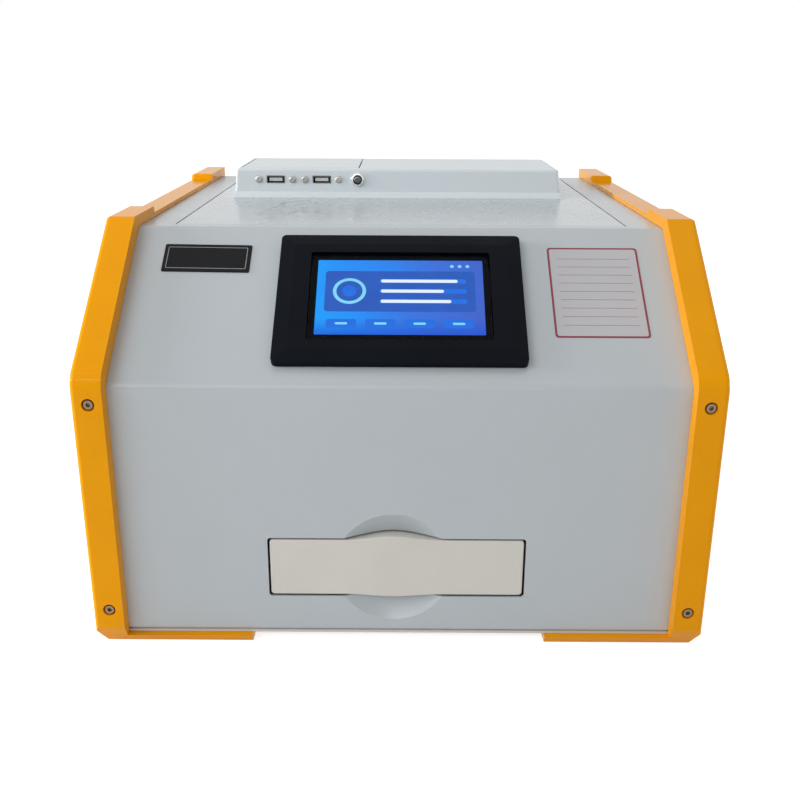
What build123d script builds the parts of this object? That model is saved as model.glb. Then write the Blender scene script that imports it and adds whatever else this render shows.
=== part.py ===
from build123d import *
import os
from math import atan2, cos, tan

# Bench-top hard drive degausser. Millimetres, +Z up, front towards -Y.
# The origin is the middle of the footprint on the floor.

# Overall size
WIDTH = 352.0
DEPTH = 400.0

# Cheeks, the moulded side pieces
CHEEK_THICKNESS = 17.4
CHEEK_WALL = 3.0
CHEEK_SIDE_WALL = 4.0
CHEEK_FIT = 0.2
CHEEK_EDGE_RADIUS = 3.0
CHEEK_KNEE_RADIUS = 14.0
KNEE_HEIGHT = 164.0
SLOPE_RUN = 94.0
RAIL_HEIGHT = 236.0
RAIL_FRONT_LENGTH = 46.0
RAIL_EAR_LENGTH = 60.0
RAIL_DIP = 4.0
RAIL_STEP = 2.0
TOE_HEIGHT = 13.0
TOE_SETBACK = 7.8
SIDE_CHAMFER_WIDTH = 4.6
SIDE_CHAMFER_HEIGHT = 9.5
VENT_COUNT = 7
VENT_LENGTH = 70.0
VENT_HEIGHT = 3.5
VENT_PITCH = 9.0
VENT_FROM_BACK = 100.0
VENT_LOWEST = 45.0

# Feet
FOOT_REACH = 73.0
FOOT_DEPTH = 44.0
FOOT_BOTTOM = 0.4
PAD_RADIUS = 10.0
PAD_SEAT = 1.2
PAD_CHAMFER = 0.5

# Sheet-metal body
SHEET = 1.5
RECESS = 9.0
SLOPE_RECESS = 10.5
DECK_DROP = 7.0
BODY_EDGE_GAP = 1.0
BEND_RADIUS = 5.0
PAN_BOTTOM = 5.3
PAN_HEM = 6.0
PAN_HEM_NOTCH = 12.0
PAN_VENT_LENGTH = 50.0
PAN_VENT_FROM_BACK = 51.0
PANEL_GAP = 1.3
COVER_SIDE_BORDER = 19.6
COVER_FRONT_BORDER = 8.5
COVER_BACK_BORDER = 11.0
COVER_GAP = 1.1
COVER_FRONT_GAP = 0.4
LEDGE_WIDTH = 6.0
WIRE_HOLE_RADIUS = 8.0
WIRE_HOLE_BEHIND = 25.0

# Cheek screws, M3 socket heads in counterbores
SCREW_RADIUS = 1.5
SCREW_HOLE_RADIUS = 1.7
SCREW_HEAD_RADIUS = 2.5
SCREW_HEAD_HEIGHT = 3.0
SCREW_SOCKET = 1.4
COUNTERBORE_RADIUS = 3.6
COUNTERBORE_DEPTH = 3.5
BOSS_RADIUS = 5.0
NUT_HEIGHT = 3.0
NUT_FIT = 0.05
SCREW_FROM_SIDE = 9.6
SCREW_LOW = 24.6
SCREW_BELOW_KNEE = 14.6
SCREW_BELOW_RAIL = 31.0

# Drawer and chamber
CHAMBER_HEIGHT = 48.1
DRAWER_SHIFT = -1.2
DRAWER_WIDTH = 145.5
DRAWER_HEIGHT = 35.0
DRAWER_GAP = 1.2
DRAWER_CORNER = 2.0
DRAWER_DEPTH = 16.0
DRAWER_WALL = 2.5
DRAWER_EDGE_RADIUS = 0.8
BULGE_HALF = 28.0
BULGE_TOP = 2.3
BULGE_BOTTOM = 1.5
CUP_SHIFT = -3.0
CUP_RIM_RADIUS = 33.8
CUP_SPHERE_RADIUS = 60.0
DRIVE_WIDTH = 101.6
DRIVE_LENGTH = 147.0
DRIVE_HEIGHT = 26.1
DRIVE_ROOM = 1.2
TRAY_WALL = 5.0
TRAY_FLOOR = 3.0
TRAY_FRONT_WALL = 10.0
TRAY_TAIL = 76.0
TRAY_CLEARANCE = 0.4
PAD_SHEET = 1.0
DRAWER_TRAVEL = 180.0
LUG_LENGTH = 8.0
LUG_HALF_WIDTH = 6.0
LINER_WALL = 2.5
LINER_CORNER = 3.0
LINER_START = 2.0
LINER_OVERRUN = 8.0
TRAY_SCREW_SPREAD = 36.0

# Degaussing coil
COIL_LENGTH = 156.0
COIL_BUILD = 14.0
COIL_FIT = 0.2
COIL_CORNER = 16.0
END_PLATE = 4.0
END_PLATE_RIM = 2.0
END_PLATE_START = 4.0
SHELF = 3.0

# Drawer lock
LOCK_FROM_TAIL = 32.0
LOCK_BOLT_RADIUS = 4.0
LOCK_FIT = 0.08
LOCK_SLACK = 0.8
LOCK_WEB = 5.2
LOCK_TRAVEL = 10.0
LOCK_ABOVE_LINER = 0.8
LOCK_HEAD_RIM = 2.0
LOCK_HEAD_HEIGHT = 3.0
LOCK_HEAD_GAP = 0.3
LOCK_BRACKET_HALF = 16.0
LOCK_BRACKET_GAP = 4.0
LOCK_BRACKET_FOOT = 12.0
LOCK_BRACKET_ABOVE = 6.0
LOCK_PLATE = 2.0
SOLENOID_HEIGHT = 34.0
SOLENOID_WIDTH = 28.0
SOLENOID_DEPTH = 30.0
FLAG_X = 20.0
FLAG = 2.0
SENSOR_DEPTH = 12.0
SENSOR_WIDTH = 12.0
SENSOR_ABOVE = 9.0
SENSOR_BELOW = 7.0
SENSOR_GAP = 0.5

# Power parts
CAP_COUNT = 3
CAP_RADIUS = 24.0
CAP_HEIGHT = 105.0
CAP_EDGE_RADIUS = 2.0
CAP_SPACING = 58.0
CAP_CLAMP_WALL = 2.0
CAP_CLAMP_HEIGHT = 22.0
CAP_LUG_WIDTH = 10.0
CAP_LUG_REACH = 2.0
CAP_LUG_ROOT = 4.0
CAP_LUG_HEIGHT = 3.0
TERMINAL_RADIUS = 5.0
TERMINAL_HEIGHT = 6.0
TERMINAL_SPREAD = 11.0
BUS_WIDTH = 14.0
BUS_THICKNESS = 2.0
SIDE_GAP = 2.8
SIDE_PARTS_BEHIND = 10.0
SINK_DEPTH = 75.0
SINK_HEIGHT = 40.0
SINK_BASE = 6.0
SINK_FINS = 12
SINK_FIN = 2.0
MODULE_MARGIN = 5.0
MODULE_DEPTH = 34.0
MODULE_HEIGHT = 24.0
MODULE_STUD = 5.0
MODULE_STUD_PITCH = 18.0
CORE_MARGIN = 3.0
CORE_HEIGHT = 67.0
CORE_DEPTH = 36.0
WINDING_OVER = 12.0
WINDING_CORNER = 6.0
WINDING_FIT = 0.3
RESISTOR_LENGTH = 56.0
RESISTOR_WIDTH = 20.0
RESISTOR_HEIGHT = 22.0
RESISTOR_FLANGE = 7.0
RESISTOR_BASE = 4.0
RESISTOR_RIBS = 6
RESISTOR_RIB_PITCH = 3.0
RESISTOR_RIB_GAP = 1.5
RESISTOR_RIB_DEPTH = 8.0
RESISTOR_FROM_BACK = 23.0

# Control and data boards
BOARD = 1.6
BOARD_POST = 10.0
POST_RADIUS = 3.0
BOARD_HALF_WIDTH = 65.0
BOARD_DEPTH = 110.0
DATA_BOARD_GAP = 17.0
DATA_BOARD_DEPTH = 78.0
POST_FROM_EDGE = 5.0
RELAY_WIDTH = 16.0
RELAY_LENGTH = 28.0
RELAY_HEIGHT = 20.0
RELAY_PITCH = 22.0
RELAY_START = 50.0
RELAY_BEHIND = 10.0
SMALL_CAP_RADIUS = 6.0
SMALL_CAP_HEIGHT = 18.0
SMALL_CAP_PITCH = 20.0
SMALL_CAP_START = 45.0
SMALL_CAP_AHEAD = 20.0
DRIVER_X = 20.0
DRIVER_WIDTH = 35.0
DRIVER_LENGTH = 40.0
DRIVER_HEIGHT = 8.0
DRIVER_AHEAD = 5.0
STRIP_LENGTH = 40.0
STRIP_WIDTH = 10.0
STRIP_HEIGHT = 12.0
STRIP_AHEAD = 48.0
STRIP_FROM_EDGE = 13.0

# Touch panel on the slope
PANEL_WIDTH = 141.0
PANEL_HEIGHT = 93.4
PANEL_ABOVE_MIDDLE = 0.75
PANEL_CORNER = 3.0
PANEL_EDGE = 5.0
PANEL_PROUD = 6.4
PANEL_BEVEL = 8.5
PANEL_WINDOW_WIDTH = 104.0
PANEL_WINDOW_HEIGHT = 64.0
GASKET = 0.8
GLASS = 1.5
GLASS_GAP = 0.2
GLASS_SUNK = 0.3
DISPLAY = 3.0
CASE_MARGIN = 5.3
CASE_DEPTH = 32.0
CASE_WALL = 2.0
CASE_FIT = 0.5
CLAMP_SIZE = 9.0
CLAMP_HEIGHT = 10.0

# Hood on the deck
HOOD_FROM_BACK = 61.0
HOOD_LENGTH = 87.0
HOOD_SIDE_BORDER = 18.0
HOOD_SHIFT = -3.0
HOOD_LEAN = 2.2
HOOD_HEIGHT = 21.0
SKIRT_HEIGHT = 4.4
SKIRT_REACH = 2.6
SKIRT_LIP = 0.5
HOOD_EDGE_RADIUS = 2.0
PORT_ABOVE_DECK = 13.2
PORT_FROM_LEFT = 31.1
PORT_PITCH = 34.0
PORT_WIDTH = 13.1
PORT_HEIGHT = 5.1
PORT_SHELL = 0.5
PORT_DEPTH = 16.0
PORT_SCREW_SPREAD = 12.4
PORT_SCREW_RADIUS = 1.25
PORT_SCREW_HEAD = 2.6
TONGUE_WIDTH = 9.6
TONGUE_HEIGHT = 2.4
TONGUE_SUNK = 0.6
BUTTON_FROM_LEFT = 91.7
BUTTON_RADIUS = 3.2
BUTTON_FIT = 0.3
BUTTON_PROUD = 2.4
BUTTON_DOME = 1.8
BUTTON_LENGTH = 12.0
BUSHING_RADIUS = 4.8
BUSHING_HEAD = 2.0
BUSHING_BARREL = 4.3
BUSHING_LENGTH = 14.0
BUSHING_FLOOR = 2.0
BUTTON_NUT_RADIUS = 6.0
BUTTON_NUT_HEIGHT = 2.5

# Dock lid in the hood
LID_FROM_LEFT = 4.5
LID_WIDTH = 88.3
LID_FRONT = 8.0
LID_GAP = 1.0
LID_BACK_STRIP = 4.0
KNUCKLE_RADIUS = 1.8
HINGE_PIN_RADIUS = 0.9
HINGE_FIT = 0.05
HINGE_ROOM = 0.2
LID_HINGE_ROOM = 0.3
KNUCKLE_GAP = 0.4
DOCK_SLOT_WIDTH = 72.0
DOCK_SLOT_GAP = 11.0
DOCK_WALL = 2.5
DOCK_BELOW_DECK = 40.0
DOCK_FLANGE = 2.0
DOCK_FLANGE_RIM = 6.0

# Fan on the rear panel
FAN_SIDE_GAP = 23.6
FAN_TOP_GAP = 22.5
REAR_VENT_LENGTH = 40.0
FAN_SIZE = 80.0
FAN_DEPTH = 25.0
FAN_BORE_RADIUS = 38.0
FAN_HOLE_SPREAD = 35.75
FAN_HUB_RADIUS = 16.0
FAN_BLADES = 7
FAN_STRUT = 3.0
FAN_SHAFT_RADIUS = 1.5
FAN_SHAFT_FIT = 0.06
GUARD_WIRE = 1.2

# Mains inlet module on the rear panel
INLET_SIDE_GAP = 34.6
INLET_BELOW_VENTS = 19.0
INLET_WIDTH = 28.0
INLET_TALL = 56.0
INLET_DEPTH = 28.0
INLET_RIM = 3.0
INLET_FLANGE = 3.0
ROCKER_ABOVE = 17.0
ROCKER_SUNK = 2.0
ROCKER_TILT = 8.0
ROCKER_WIDTH = 19.0
ROCKER_HALF = 6.2
ROCKER_PIN = 1.2
ROCKER_FIT = 0.06

# Positions that follow from the sizes
FRONT = -DEPTH / 2
BACK = DEPTH / 2
SLOPE = atan2(RAIL_HEIGHT - KNEE_HEIGHT, SLOPE_RUN)
CHEEK_INNER = WIDTH / 2 - CHEEK_THICKNESS
COVER_HALF_WIDTH = CHEEK_INNER - COVER_SIDE_BORDER
HOOD_HALF_WIDTH = COVER_HALF_WIDTH - HOOD_SIDE_BORDER
HOOD_LEFT = HOOD_SHIFT - HOOD_HALF_WIDTH
BODY_HALF = WIDTH / 2 - CHEEK_SIDE_WALL - BODY_EDGE_GAP
PANEL_Y = FRONT + RECESS
REAR_Y = BACK - RECESS
DECK_Z = RAIL_HEIGHT - DECK_DROP
HOOD_END = REAR_Y - HOOD_FROM_BACK
HOOD_Y = HOOD_END - HOOD_LENGTH
HOOD_TOP = DECK_Z + HOOD_HEIGHT
PAN_TOP = PAN_BOTTOM + SHEET
FOOT_TOP = PAN_BOTTOM - CHEEK_FIT
SCREW_X = WIDTH / 2 - SCREW_FROM_SIDE
SCREW_SPOTS = (
    (FRONT, 1, SCREW_LOW),
    (FRONT, 1, KNEE_HEIGHT - SCREW_BELOW_KNEE),
    (BACK, -1, SCREW_LOW),
    (BACK, -1, RAIL_HEIGHT - SCREW_BELOW_RAIL),
)

POCKET_HALF = DRIVE_WIDTH / 2 + DRIVE_ROOM
POCKET_LENGTH = DRIVE_LENGTH + 2 * DRIVE_ROOM
TRAY_HALF = POCKET_HALF + TRAY_WALL
TRAY_HEIGHT = TRAY_FLOOR + PAD_SHEET + DRIVE_HEIGHT
TRAY_BOTTOM = CHAMBER_HEIGHT - TRAY_HEIGHT / 2
TRAY_TOP = CHAMBER_HEIGHT + TRAY_HEIGHT / 2
TRAY_START = PANEL_Y + DRAWER_DEPTH
POCKET_START = TRAY_START + TRAY_FRONT_WALL
POCKET_END = POCKET_START + POCKET_LENGTH
TRAY_END = POCKET_END + TRAY_TAIL
BORE_HALF_WIDTH = TRAY_HALF + TRAY_CLEARANCE
BORE_HALF_HEIGHT = TRAY_HEIGHT / 2 + TRAY_CLEARANCE
LINER_HALF_WIDTH = BORE_HALF_WIDTH + LINER_WALL
LINER_HALF_HEIGHT = BORE_HALF_HEIGHT + LINER_WALL
LINER_Y = TRAY_START + LINER_START
LINER_END = TRAY_END + LINER_OVERRUN
LUG_TOP = CHAMBER_HEIGHT + LINER_HALF_HEIGHT - COIL_FIT
LOCK_Y = TRAY_END - LOCK_FROM_TAIL
LOCK_REST = CHAMBER_HEIGHT + LINER_HALF_HEIGHT + LOCK_ABOVE_LINER

END_PLATE_Y = LINER_Y + END_PLATE_START
COIL_Y = END_PLATE_Y + END_PLATE
COIL_END = COIL_Y + COIL_LENGTH
END_PLATE_HALF = LINER_HALF_WIDTH + COIL_FIT + COIL_BUILD + END_PLATE_RIM
END_PLATE_TOP = CHAMBER_HEIGHT + LINER_HALF_HEIGHT + COIL_FIT + COIL_BUILD + END_PLATE_RIM
BRACKET_TOP = CHAMBER_HEIGHT + LINER_HALF_HEIGHT + LOCK_BRACKET_ABOVE
BRACKET_INNER = LINER_HALF_WIDTH + LOCK_BRACKET_GAP
BRACKET_REACH = BRACKET_INNER + LOCK_PLATE + LOCK_BRACKET_FOOT
SIDE_HALF = BODY_HALF - SHEET
CAP_X = (SIDE_HALF + END_PLATE_HALF) / 2
CAP_START = COIL_Y + COIL_LENGTH / 2 - CAP_SPACING * (CAP_COUNT - 1) / 2
CAP_YS = [CAP_START + CAP_SPACING * index for index in range(CAP_COUNT)]
CAP_TOP = PAN_TOP + CAP_HEIGHT
SINK_WIDTH = SIDE_HALF - BRACKET_REACH - 2 * SIDE_GAP
SIDE_PARTS_X = (SIDE_HALF + BRACKET_REACH) / 2
SIDE_PARTS_Y = COIL_END + SIDE_PARTS_BEHIND + SINK_DEPTH / 2
CORE_WIDTH = SINK_WIDTH - 2 * CORE_MARGIN
CORE_LEG = CORE_WIDTH / 6
CASE_WIDTH = PANEL_WIDTH - 2 * CASE_MARGIN
CASE_HEIGHT = PANEL_HEIGHT - 2 * CASE_MARGIN

COVER_BACK = REAR_Y - COVER_BACK_BORDER
LID_Y = HOOD_Y + LID_FRONT
HINGE_Y = HOOD_END - LID_BACK_STRIP - KNUCKLE_RADIUS - HINGE_ROOM
HINGE_Z = HOOD_TOP - KNUCKLE_RADIUS
LID_LEFT = HOOD_LEFT + LID_FROM_LEFT
LID_RIGHT = LID_LEFT + LID_WIDTH
DOCK_X = (LID_LEFT + LID_RIGHT) / 2
DOCK_Y = (LID_Y + HINGE_Y) / 2
PORT_XS = (HOOD_LEFT + PORT_FROM_LEFT, HOOD_LEFT + PORT_FROM_LEFT + PORT_PITCH)
BUTTON_X = HOOD_LEFT + BUTTON_FROM_LEFT
PORT_Z = DECK_Z + PORT_ABOVE_DECK
FAN_X = CHEEK_INNER - FAN_SIDE_GAP - FAN_SIZE / 2
REAR_TOP = DECK_Z - SHEET - FAN_TOP_GAP
FAN_HEIGHT = REAR_TOP - FAN_SIZE / 2
INLET_X = -(CHEEK_INNER - INLET_SIDE_GAP - INLET_WIDTH / 2)
INLET_HEIGHT = REAR_TOP - REAR_VENT_LENGTH - INLET_BELOW_VENTS - INLET_TALL / 2
ROCKER_Z = INLET_HEIGHT + ROCKER_ABOVE
ROCKER_Y = REAR_Y + INLET_FLANGE - ROCKER_SUNK


def knee(front_inset, slope_inset):
    """Where the vertical front and the slope meet, each inset from the cheeks' faces."""
    return (FRONT + front_inset, KNEE_HEIGHT + front_inset * tan(SLOPE) - slope_inset / cos(SLOPE))


def bend(slope_inset, height):
    """Where the slope, inset from the cheeks' faces, reaches a height."""
    return (FRONT + (height - KNEE_HEIGHT + slope_inset / cos(SLOPE)) / tan(SLOPE), height)


def toe_y(height):
    """How far forward the slanted toe of a cheek stands at a height."""
    return FRONT + TOE_SETBACK * (TOE_HEIGHT - height) / (TOE_HEIGHT - FOOT_BOTTOM)


COVER_FRONT = bend(SLOPE_RECESS, DECK_Z)[0] + COVER_FRONT_BORDER
SLOPE_PLANE = Plane((0, *knee(RECESS, SLOPE_RECESS)), x_dir=(1, 0, 0), z_dir=(0, -tan(SLOPE), 1))
SLOPE_LENGTH = (bend(SLOPE_RECESS, DECK_Z)[0] - PANEL_Y) / cos(SLOPE)
TOUCH_PLANE = SLOPE_PLANE * Pos(0, SLOPE_LENGTH / 2 + PANEL_ABOVE_MIDDLE, 0)
FRONT_PLANE = Plane((0, PANEL_Y, CHAMBER_HEIGHT), x_dir=(1, 0, 0), z_dir=(0, -1, 0))
FAN_PLANE = Plane((FAN_X, REAR_Y - SHEET, FAN_HEIGHT), x_dir=(-1, 0, 0), z_dir=(0, 1, 0))


def block(x0, x1, y0, y1, z0, z1):
    """Box between two corners."""
    return Pos((x0 + x1) / 2, (y0 + y1) / 2, (z0 + z1) / 2) * Box(x1 - x0, y1 - y0, z1 - z0)


def rod(x, y, z, radius, length, direction):
    """Cylinder that starts at a point and runs along a direction."""
    bottom = (Align.CENTER, Align.CENTER, Align.MIN)
    return Plane((x, y, z), z_dir=direction) * Cylinder(radius, length, align=bottom)


def side_prism(points, x0, x1):
    """Side-view outline, as (y, z) points, drawn out along X."""
    outline = make_face(Polyline(*points, close=True))
    return extrude(Plane.YZ.offset(x0) * outline, x1 - x0)


def group(shapes):
    """Several solids kept as one node."""
    return Compound([solid for shape in shapes for solid in shape.solids()])


def edges_at(shape, points):
    """Edges along X whose side view passes within a hair of the points."""
    found = []
    for edge in shape.edges().filter_by(Axis.X):
        middle = edge.center()
        if any(abs(middle.Y - y) < 0.01 and abs(middle.Z - z) < 0.01 for y, z in points):
            found.append(edge)
    return found


def across(shape):
    """Copy mirrored from right to left."""
    return mirror(shape, about=Plane.YZ)


def cheek_outline():
    """Side view of a cheek."""
    low = RAIL_HEIGHT - RAIL_DIP
    front_end = FRONT + SLOPE_RUN + RAIL_FRONT_LENGTH
    ear = BACK - RAIL_EAR_LENGTH
    return [
        (FRONT + TOE_SETBACK, FOOT_BOTTOM),
        (FRONT, TOE_HEIGHT),
        (FRONT, KNEE_HEIGHT),
        (FRONT + SLOPE_RUN, RAIL_HEIGHT),
        (front_end, RAIL_HEIGHT),
        (front_end + RAIL_STEP, low),
        (ear - RAIL_STEP, low),
        (ear, RAIL_HEIGHT),
        (BACK, RAIL_HEIGHT),
        (BACK, TOE_HEIGHT),
        (BACK - TOE_SETBACK, FOOT_BOTTOM),
    ]


def cheek_groove():
    """Side view of the hollow inside the cheek's rim."""
    inset = CHEEK_WALL
    top = RAIL_HEIGHT - inset
    front_end = FRONT + SLOPE_RUN + RAIL_FRONT_LENGTH - inset
    ear = BACK - RAIL_EAR_LENGTH + inset
    return [
        (FRONT + inset, TOE_HEIGHT),
        knee(inset, inset),
        bend(inset, top),
        (front_end, top),
        (front_end, DECK_Z),
        (ear, DECK_Z),
        (ear, top),
        (BACK - inset, top),
        (BACK - inset, TOE_HEIGHT),
    ]


def right_cheek():
    """Right cheek: side wall, rim, screw bosses, vents and two foot plates."""
    outer = WIDTH / 2
    cheek = side_prism(cheek_outline(), CHEEK_INNER, outer)
    cheek = fillet(edges_at(cheek, [(FRONT, KNEE_HEIGHT)]), CHEEK_KNEE_RADIUS)
    rim = [
        edge for edge in cheek.edges()
        if abs(edge.center().X - outer) < 0.01 and edge.center().Z > TOE_HEIGHT + 1
    ]
    cheek = fillet(rim, CHEEK_EDGE_RADIUS)
    corner = make_face(Polyline(
        (outer + 1, FOOT_BOTTOM - 1),
        (outer + 1, FOOT_BOTTOM + SIDE_CHAMFER_HEIGHT),
        (outer, FOOT_BOTTOM + SIDE_CHAMFER_HEIGHT),
        (outer - SIDE_CHAMFER_WIDTH, FOOT_BOTTOM),
        (outer - SIDE_CHAMFER_WIDTH, FOOT_BOTTOM - 1),
        close=True,
    ))
    cheek -= extrude(Plane.XZ.offset(FRONT - 1) * corner, DEPTH + 2)
    fit = CHEEK_FIT
    hollow = [
        (PANEL_Y - fit, PAN_BOTTOM - fit),
        knee(RECESS - fit, SLOPE_RECESS - fit),
        bend(SLOPE_RECESS - fit, DECK_Z + fit),
        (REAR_Y + fit, DECK_Z + fit),
        (REAR_Y + fit, PAN_BOTTOM - fit),
    ]
    cheek -= side_prism(hollow, CHEEK_INNER - 1, outer - CHEEK_SIDE_WALL)
    cheek -= side_prism(cheek_groove(), CHEEK_INNER + CHEEK_WALL, outer - CHEEK_SIDE_WALL)
    for face, inward, height in SCREW_SPOTS:
        length = RECESS - fit - CHEEK_WALL + 0.5
        start = face + inward * (CHEEK_WALL - 0.5)
        cheek += rod(SCREW_X, start, height, BOSS_RADIUS, length, (0, inward, 0))
    for face, inward, height in SCREW_SPOTS:
        deep = COUNTERBORE_DEPTH + 1
        cheek -= rod(SCREW_X, face - inward, height, COUNTERBORE_RADIUS, deep, (0, inward, 0))
        cheek -= rod(SCREW_X, face, height, SCREW_HOLE_RADIUS, RECESS + 1, (0, inward, 0))
    foot = [
        (FRONT + TOE_SETBACK, FOOT_BOTTOM),
        (toe_y(FOOT_TOP), FOOT_TOP),
        (FRONT + FOOT_DEPTH, FOOT_TOP),
        (FRONT + FOOT_DEPTH, FOOT_BOTTOM),
    ]
    for points in (foot, [(-y, z) for y, z in foot]):
        cheek += side_prism(points, CHEEK_INNER - FOOT_REACH, CHEEK_INNER + CHEEK_WALL)
    for x, y in pad_spots():
        cheek -= rod(x, y, FOOT_BOTTOM - 1, PAD_RADIUS + CHEEK_FIT, PAD_SEAT + 1, (0, 0, 1))
    for row in range(VENT_COUNT):
        slot = Rot(0, 90, 0) * SlotOverall(VENT_LENGTH, VENT_HEIGHT, rotation=90)
        at = Pos(outer - CHEEK_SIDE_WALL - 1, BACK - VENT_FROM_BACK, VENT_LOWEST + row * VENT_PITCH)
        cheek -= extrude(at * slot, CHEEK_SIDE_WALL + 2)
    return cheek


def pad_spots():
    """Middles of the two right-hand foot pads."""
    x = CHEEK_INNER - FOOT_REACH / 2
    y = DEPTH / 2 - TOE_SETBACK - (FOOT_DEPTH - TOE_SETBACK) / 2
    return ((x, -y), (x, y))


def foot_pads():
    """Four rubber pads in the seats under the foot plates."""
    pads = [rod(x, y, 0, PAD_RADIUS, FOOT_BOTTOM + PAD_SEAT, (0, 0, 1)) for x, y in pad_spots()]
    pads = [chamfer(pad.edges().group_by(Axis.Z)[0], PAD_CHAMFER) for pad in pads]
    return group(pads + [across(pad) for pad in pads])


def cheek_screws():
    """Socket-head screws that hold the cheeks on the body."""
    screws = []
    for face, inward, height in SCREW_SPOTS:
        seat = face + inward * COUNTERBORE_DEPTH
        length = RECESS - COUNTERBORE_DEPTH + SHEET + NUT_HEIGHT + 1
        screw = rod(SCREW_X, seat, height, SCREW_HEAD_RADIUS, SCREW_HEAD_HEIGHT, (0, -inward, 0))
        screw += rod(SCREW_X, seat, height, SCREW_RADIUS, length, (0, inward, 0))
        mouth = Plane((SCREW_X, seat - inward * SCREW_HEAD_HEIGHT, height), z_dir=(0, inward, 0))
        screw -= extrude(mouth * RegularPolygon(SCREW_SOCKET, 6), SCREW_HEAD_HEIGHT * 0.6)
        screws.append(screw)
    return group(screws + [across(screw) for screw in screws])


def cheek_nuts():
    """Nuts for the cheek screws, behind the sheet."""
    nuts = []
    for face, inward, height in SCREW_SPOTS:
        back = face + inward * (RECESS + SHEET)
        nut = rod(SCREW_X, back, height, SCREW_HEAD_RADIUS, NUT_HEIGHT, (0, inward, 0))
        nut -= rod(SCREW_X, back, height, SCREW_RADIUS + NUT_FIT, NUT_HEIGHT, (0, inward, 0))
        nuts.append(nut)
    return group(nuts + [across(nut) for nut in nuts])


def base_pan():
    """Flat pan with turned-up hems, and slots that let air in."""
    pan = block(-BODY_HALF, BODY_HALF, PANEL_Y, REAR_Y, PAN_BOTTOM, PAN_TOP)
    hem_top = PAN_TOP + PAN_HEM
    for y0 in (PANEL_Y + SHEET, REAR_Y - 2 * SHEET):
        pan += block(-CHEEK_INNER, CHEEK_INNER, y0, y0 + SHEET, PAN_BOTTOM, hem_top)
    for x0 in (-BODY_HALF, BODY_HALF - SHEET):
        pan += block(x0, x0 + SHEET, PANEL_Y + PAN_HEM_NOTCH, REAR_Y - PAN_HEM_NOTCH, PAN_BOTTOM, hem_top)
    for row in range(VENT_COUNT):
        y = REAR_Y - PAN_VENT_FROM_BACK - row * VENT_PITCH
        half = PAN_VENT_LENGTH / 2
        pan -= block(-half, half, y - VENT_HEIGHT, y, PAN_BOTTOM - 1, PAN_TOP + 1)
    return pan


def body_shell():
    """Bent sheet: lower front, slope and the border of the deck."""
    bottom = PAN_TOP + PANEL_GAP
    outer_bends = [knee(RECESS, SLOPE_RECESS), bend(SLOPE_RECESS, DECK_Z)]
    inner_bends = [knee(RECESS + SHEET, SLOPE_RECESS + SHEET), bend(SLOPE_RECESS + SHEET, DECK_Z - SHEET)]
    shell = side_prism([
        (PANEL_Y, bottom),
        *outer_bends,
        (REAR_Y, DECK_Z),
        (REAR_Y, DECK_Z - SHEET),
        *reversed(inner_bends),
        (PANEL_Y + SHEET, bottom),
    ], -BODY_HALF, BODY_HALF)
    shell = fillet(edges_at(shell, outer_bends), BEND_RADIUS)
    shell = fillet(edges_at(shell, inner_bends), BEND_RADIUS - SHEET)
    opening = COVER_HALF_WIDTH
    ledge = block(-opening - LEDGE_WIDTH, opening + LEDGE_WIDTH, COVER_FRONT - LEDGE_WIDTH,
                  COVER_BACK + LEDGE_WIDTH, DECK_Z - 2 * SHEET, DECK_Z - SHEET)
    ledge -= block(-opening + LEDGE_WIDTH, opening - LEDGE_WIDTH, COVER_FRONT + LEDGE_WIDTH,
                   COVER_BACK - LEDGE_WIDTH, DECK_Z - 2 * SHEET, DECK_Z - SHEET)
    shell -= block(-opening, opening, COVER_FRONT, COVER_BACK, DECK_Z - SHEET - 0.5, DECK_Z + 1)
    shell += ledge
    cutout = Rectangle(CASE_WIDTH + 2 * CASE_FIT, CASE_HEIGHT + 2 * CASE_FIT)
    shell -= extrude(TOUCH_PLANE * cutout, 5, both=True)
    shell -= extrude(FRONT_PLANE * drawer_outline(DRAWER_GAP), SHEET + 1, both=True)
    shell -= cup_sphere(CUP_SPHERE_RADIUS)
    for face, inward, height in SCREW_SPOTS:
        if face == FRONT:
            hole = rod(SCREW_X, PANEL_Y - 1, height, SCREW_HOLE_RADIUS, SHEET + 2, (0, 1, 0))
            shell -= hole
            shell -= across(hole)
    return shell


def drawer_outline(gap):
    """Front view of the drawer front, with its bulged edges, let out by a gap."""
    w = DRAWER_WIDTH / 2 + gap
    h = DRAWER_HEIGHT / 2 + gap
    left, right = DRAWER_SHIFT - w, DRAWER_SHIFT + w
    b0, b1 = CUP_SHIFT - BULGE_HALF, CUP_SHIFT + BULGE_HALF
    top = Spline((b0, h), (CUP_SHIFT, h + BULGE_TOP), (b1, h), tangents=((1, 0), (1, 0)))
    base = Spline((b1, -h), (CUP_SHIFT, -h - BULGE_BOTTOM), (b0, -h), tangents=((-1, 0), (-1, 0)))
    edges = [
        Line((left, h), (b0, h)), top, Line((b1, h), (right, h)), Line((right, h), (right, -h)),
        Line((right, -h), (b1, -h)), base, Line((b0, -h), (left, -h)), Line((left, -h), (left, h)),
    ]
    face = make_face(edges)
    corners = [vertex for vertex in face.vertices() if vertex.X < left + 0.01 or vertex.X > right - 0.01]
    return fillet(corners, DRAWER_CORNER)


def cup_sphere(radius):
    """Ball whose front slice is the finger cup's hollow."""
    back_off = (CUP_SPHERE_RADIUS ** 2 - CUP_RIM_RADIUS ** 2) ** 0.5
    return Pos(CUP_SHIFT, PANEL_Y - back_off, CHAMBER_HEIGHT) * Sphere(radius)


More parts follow.
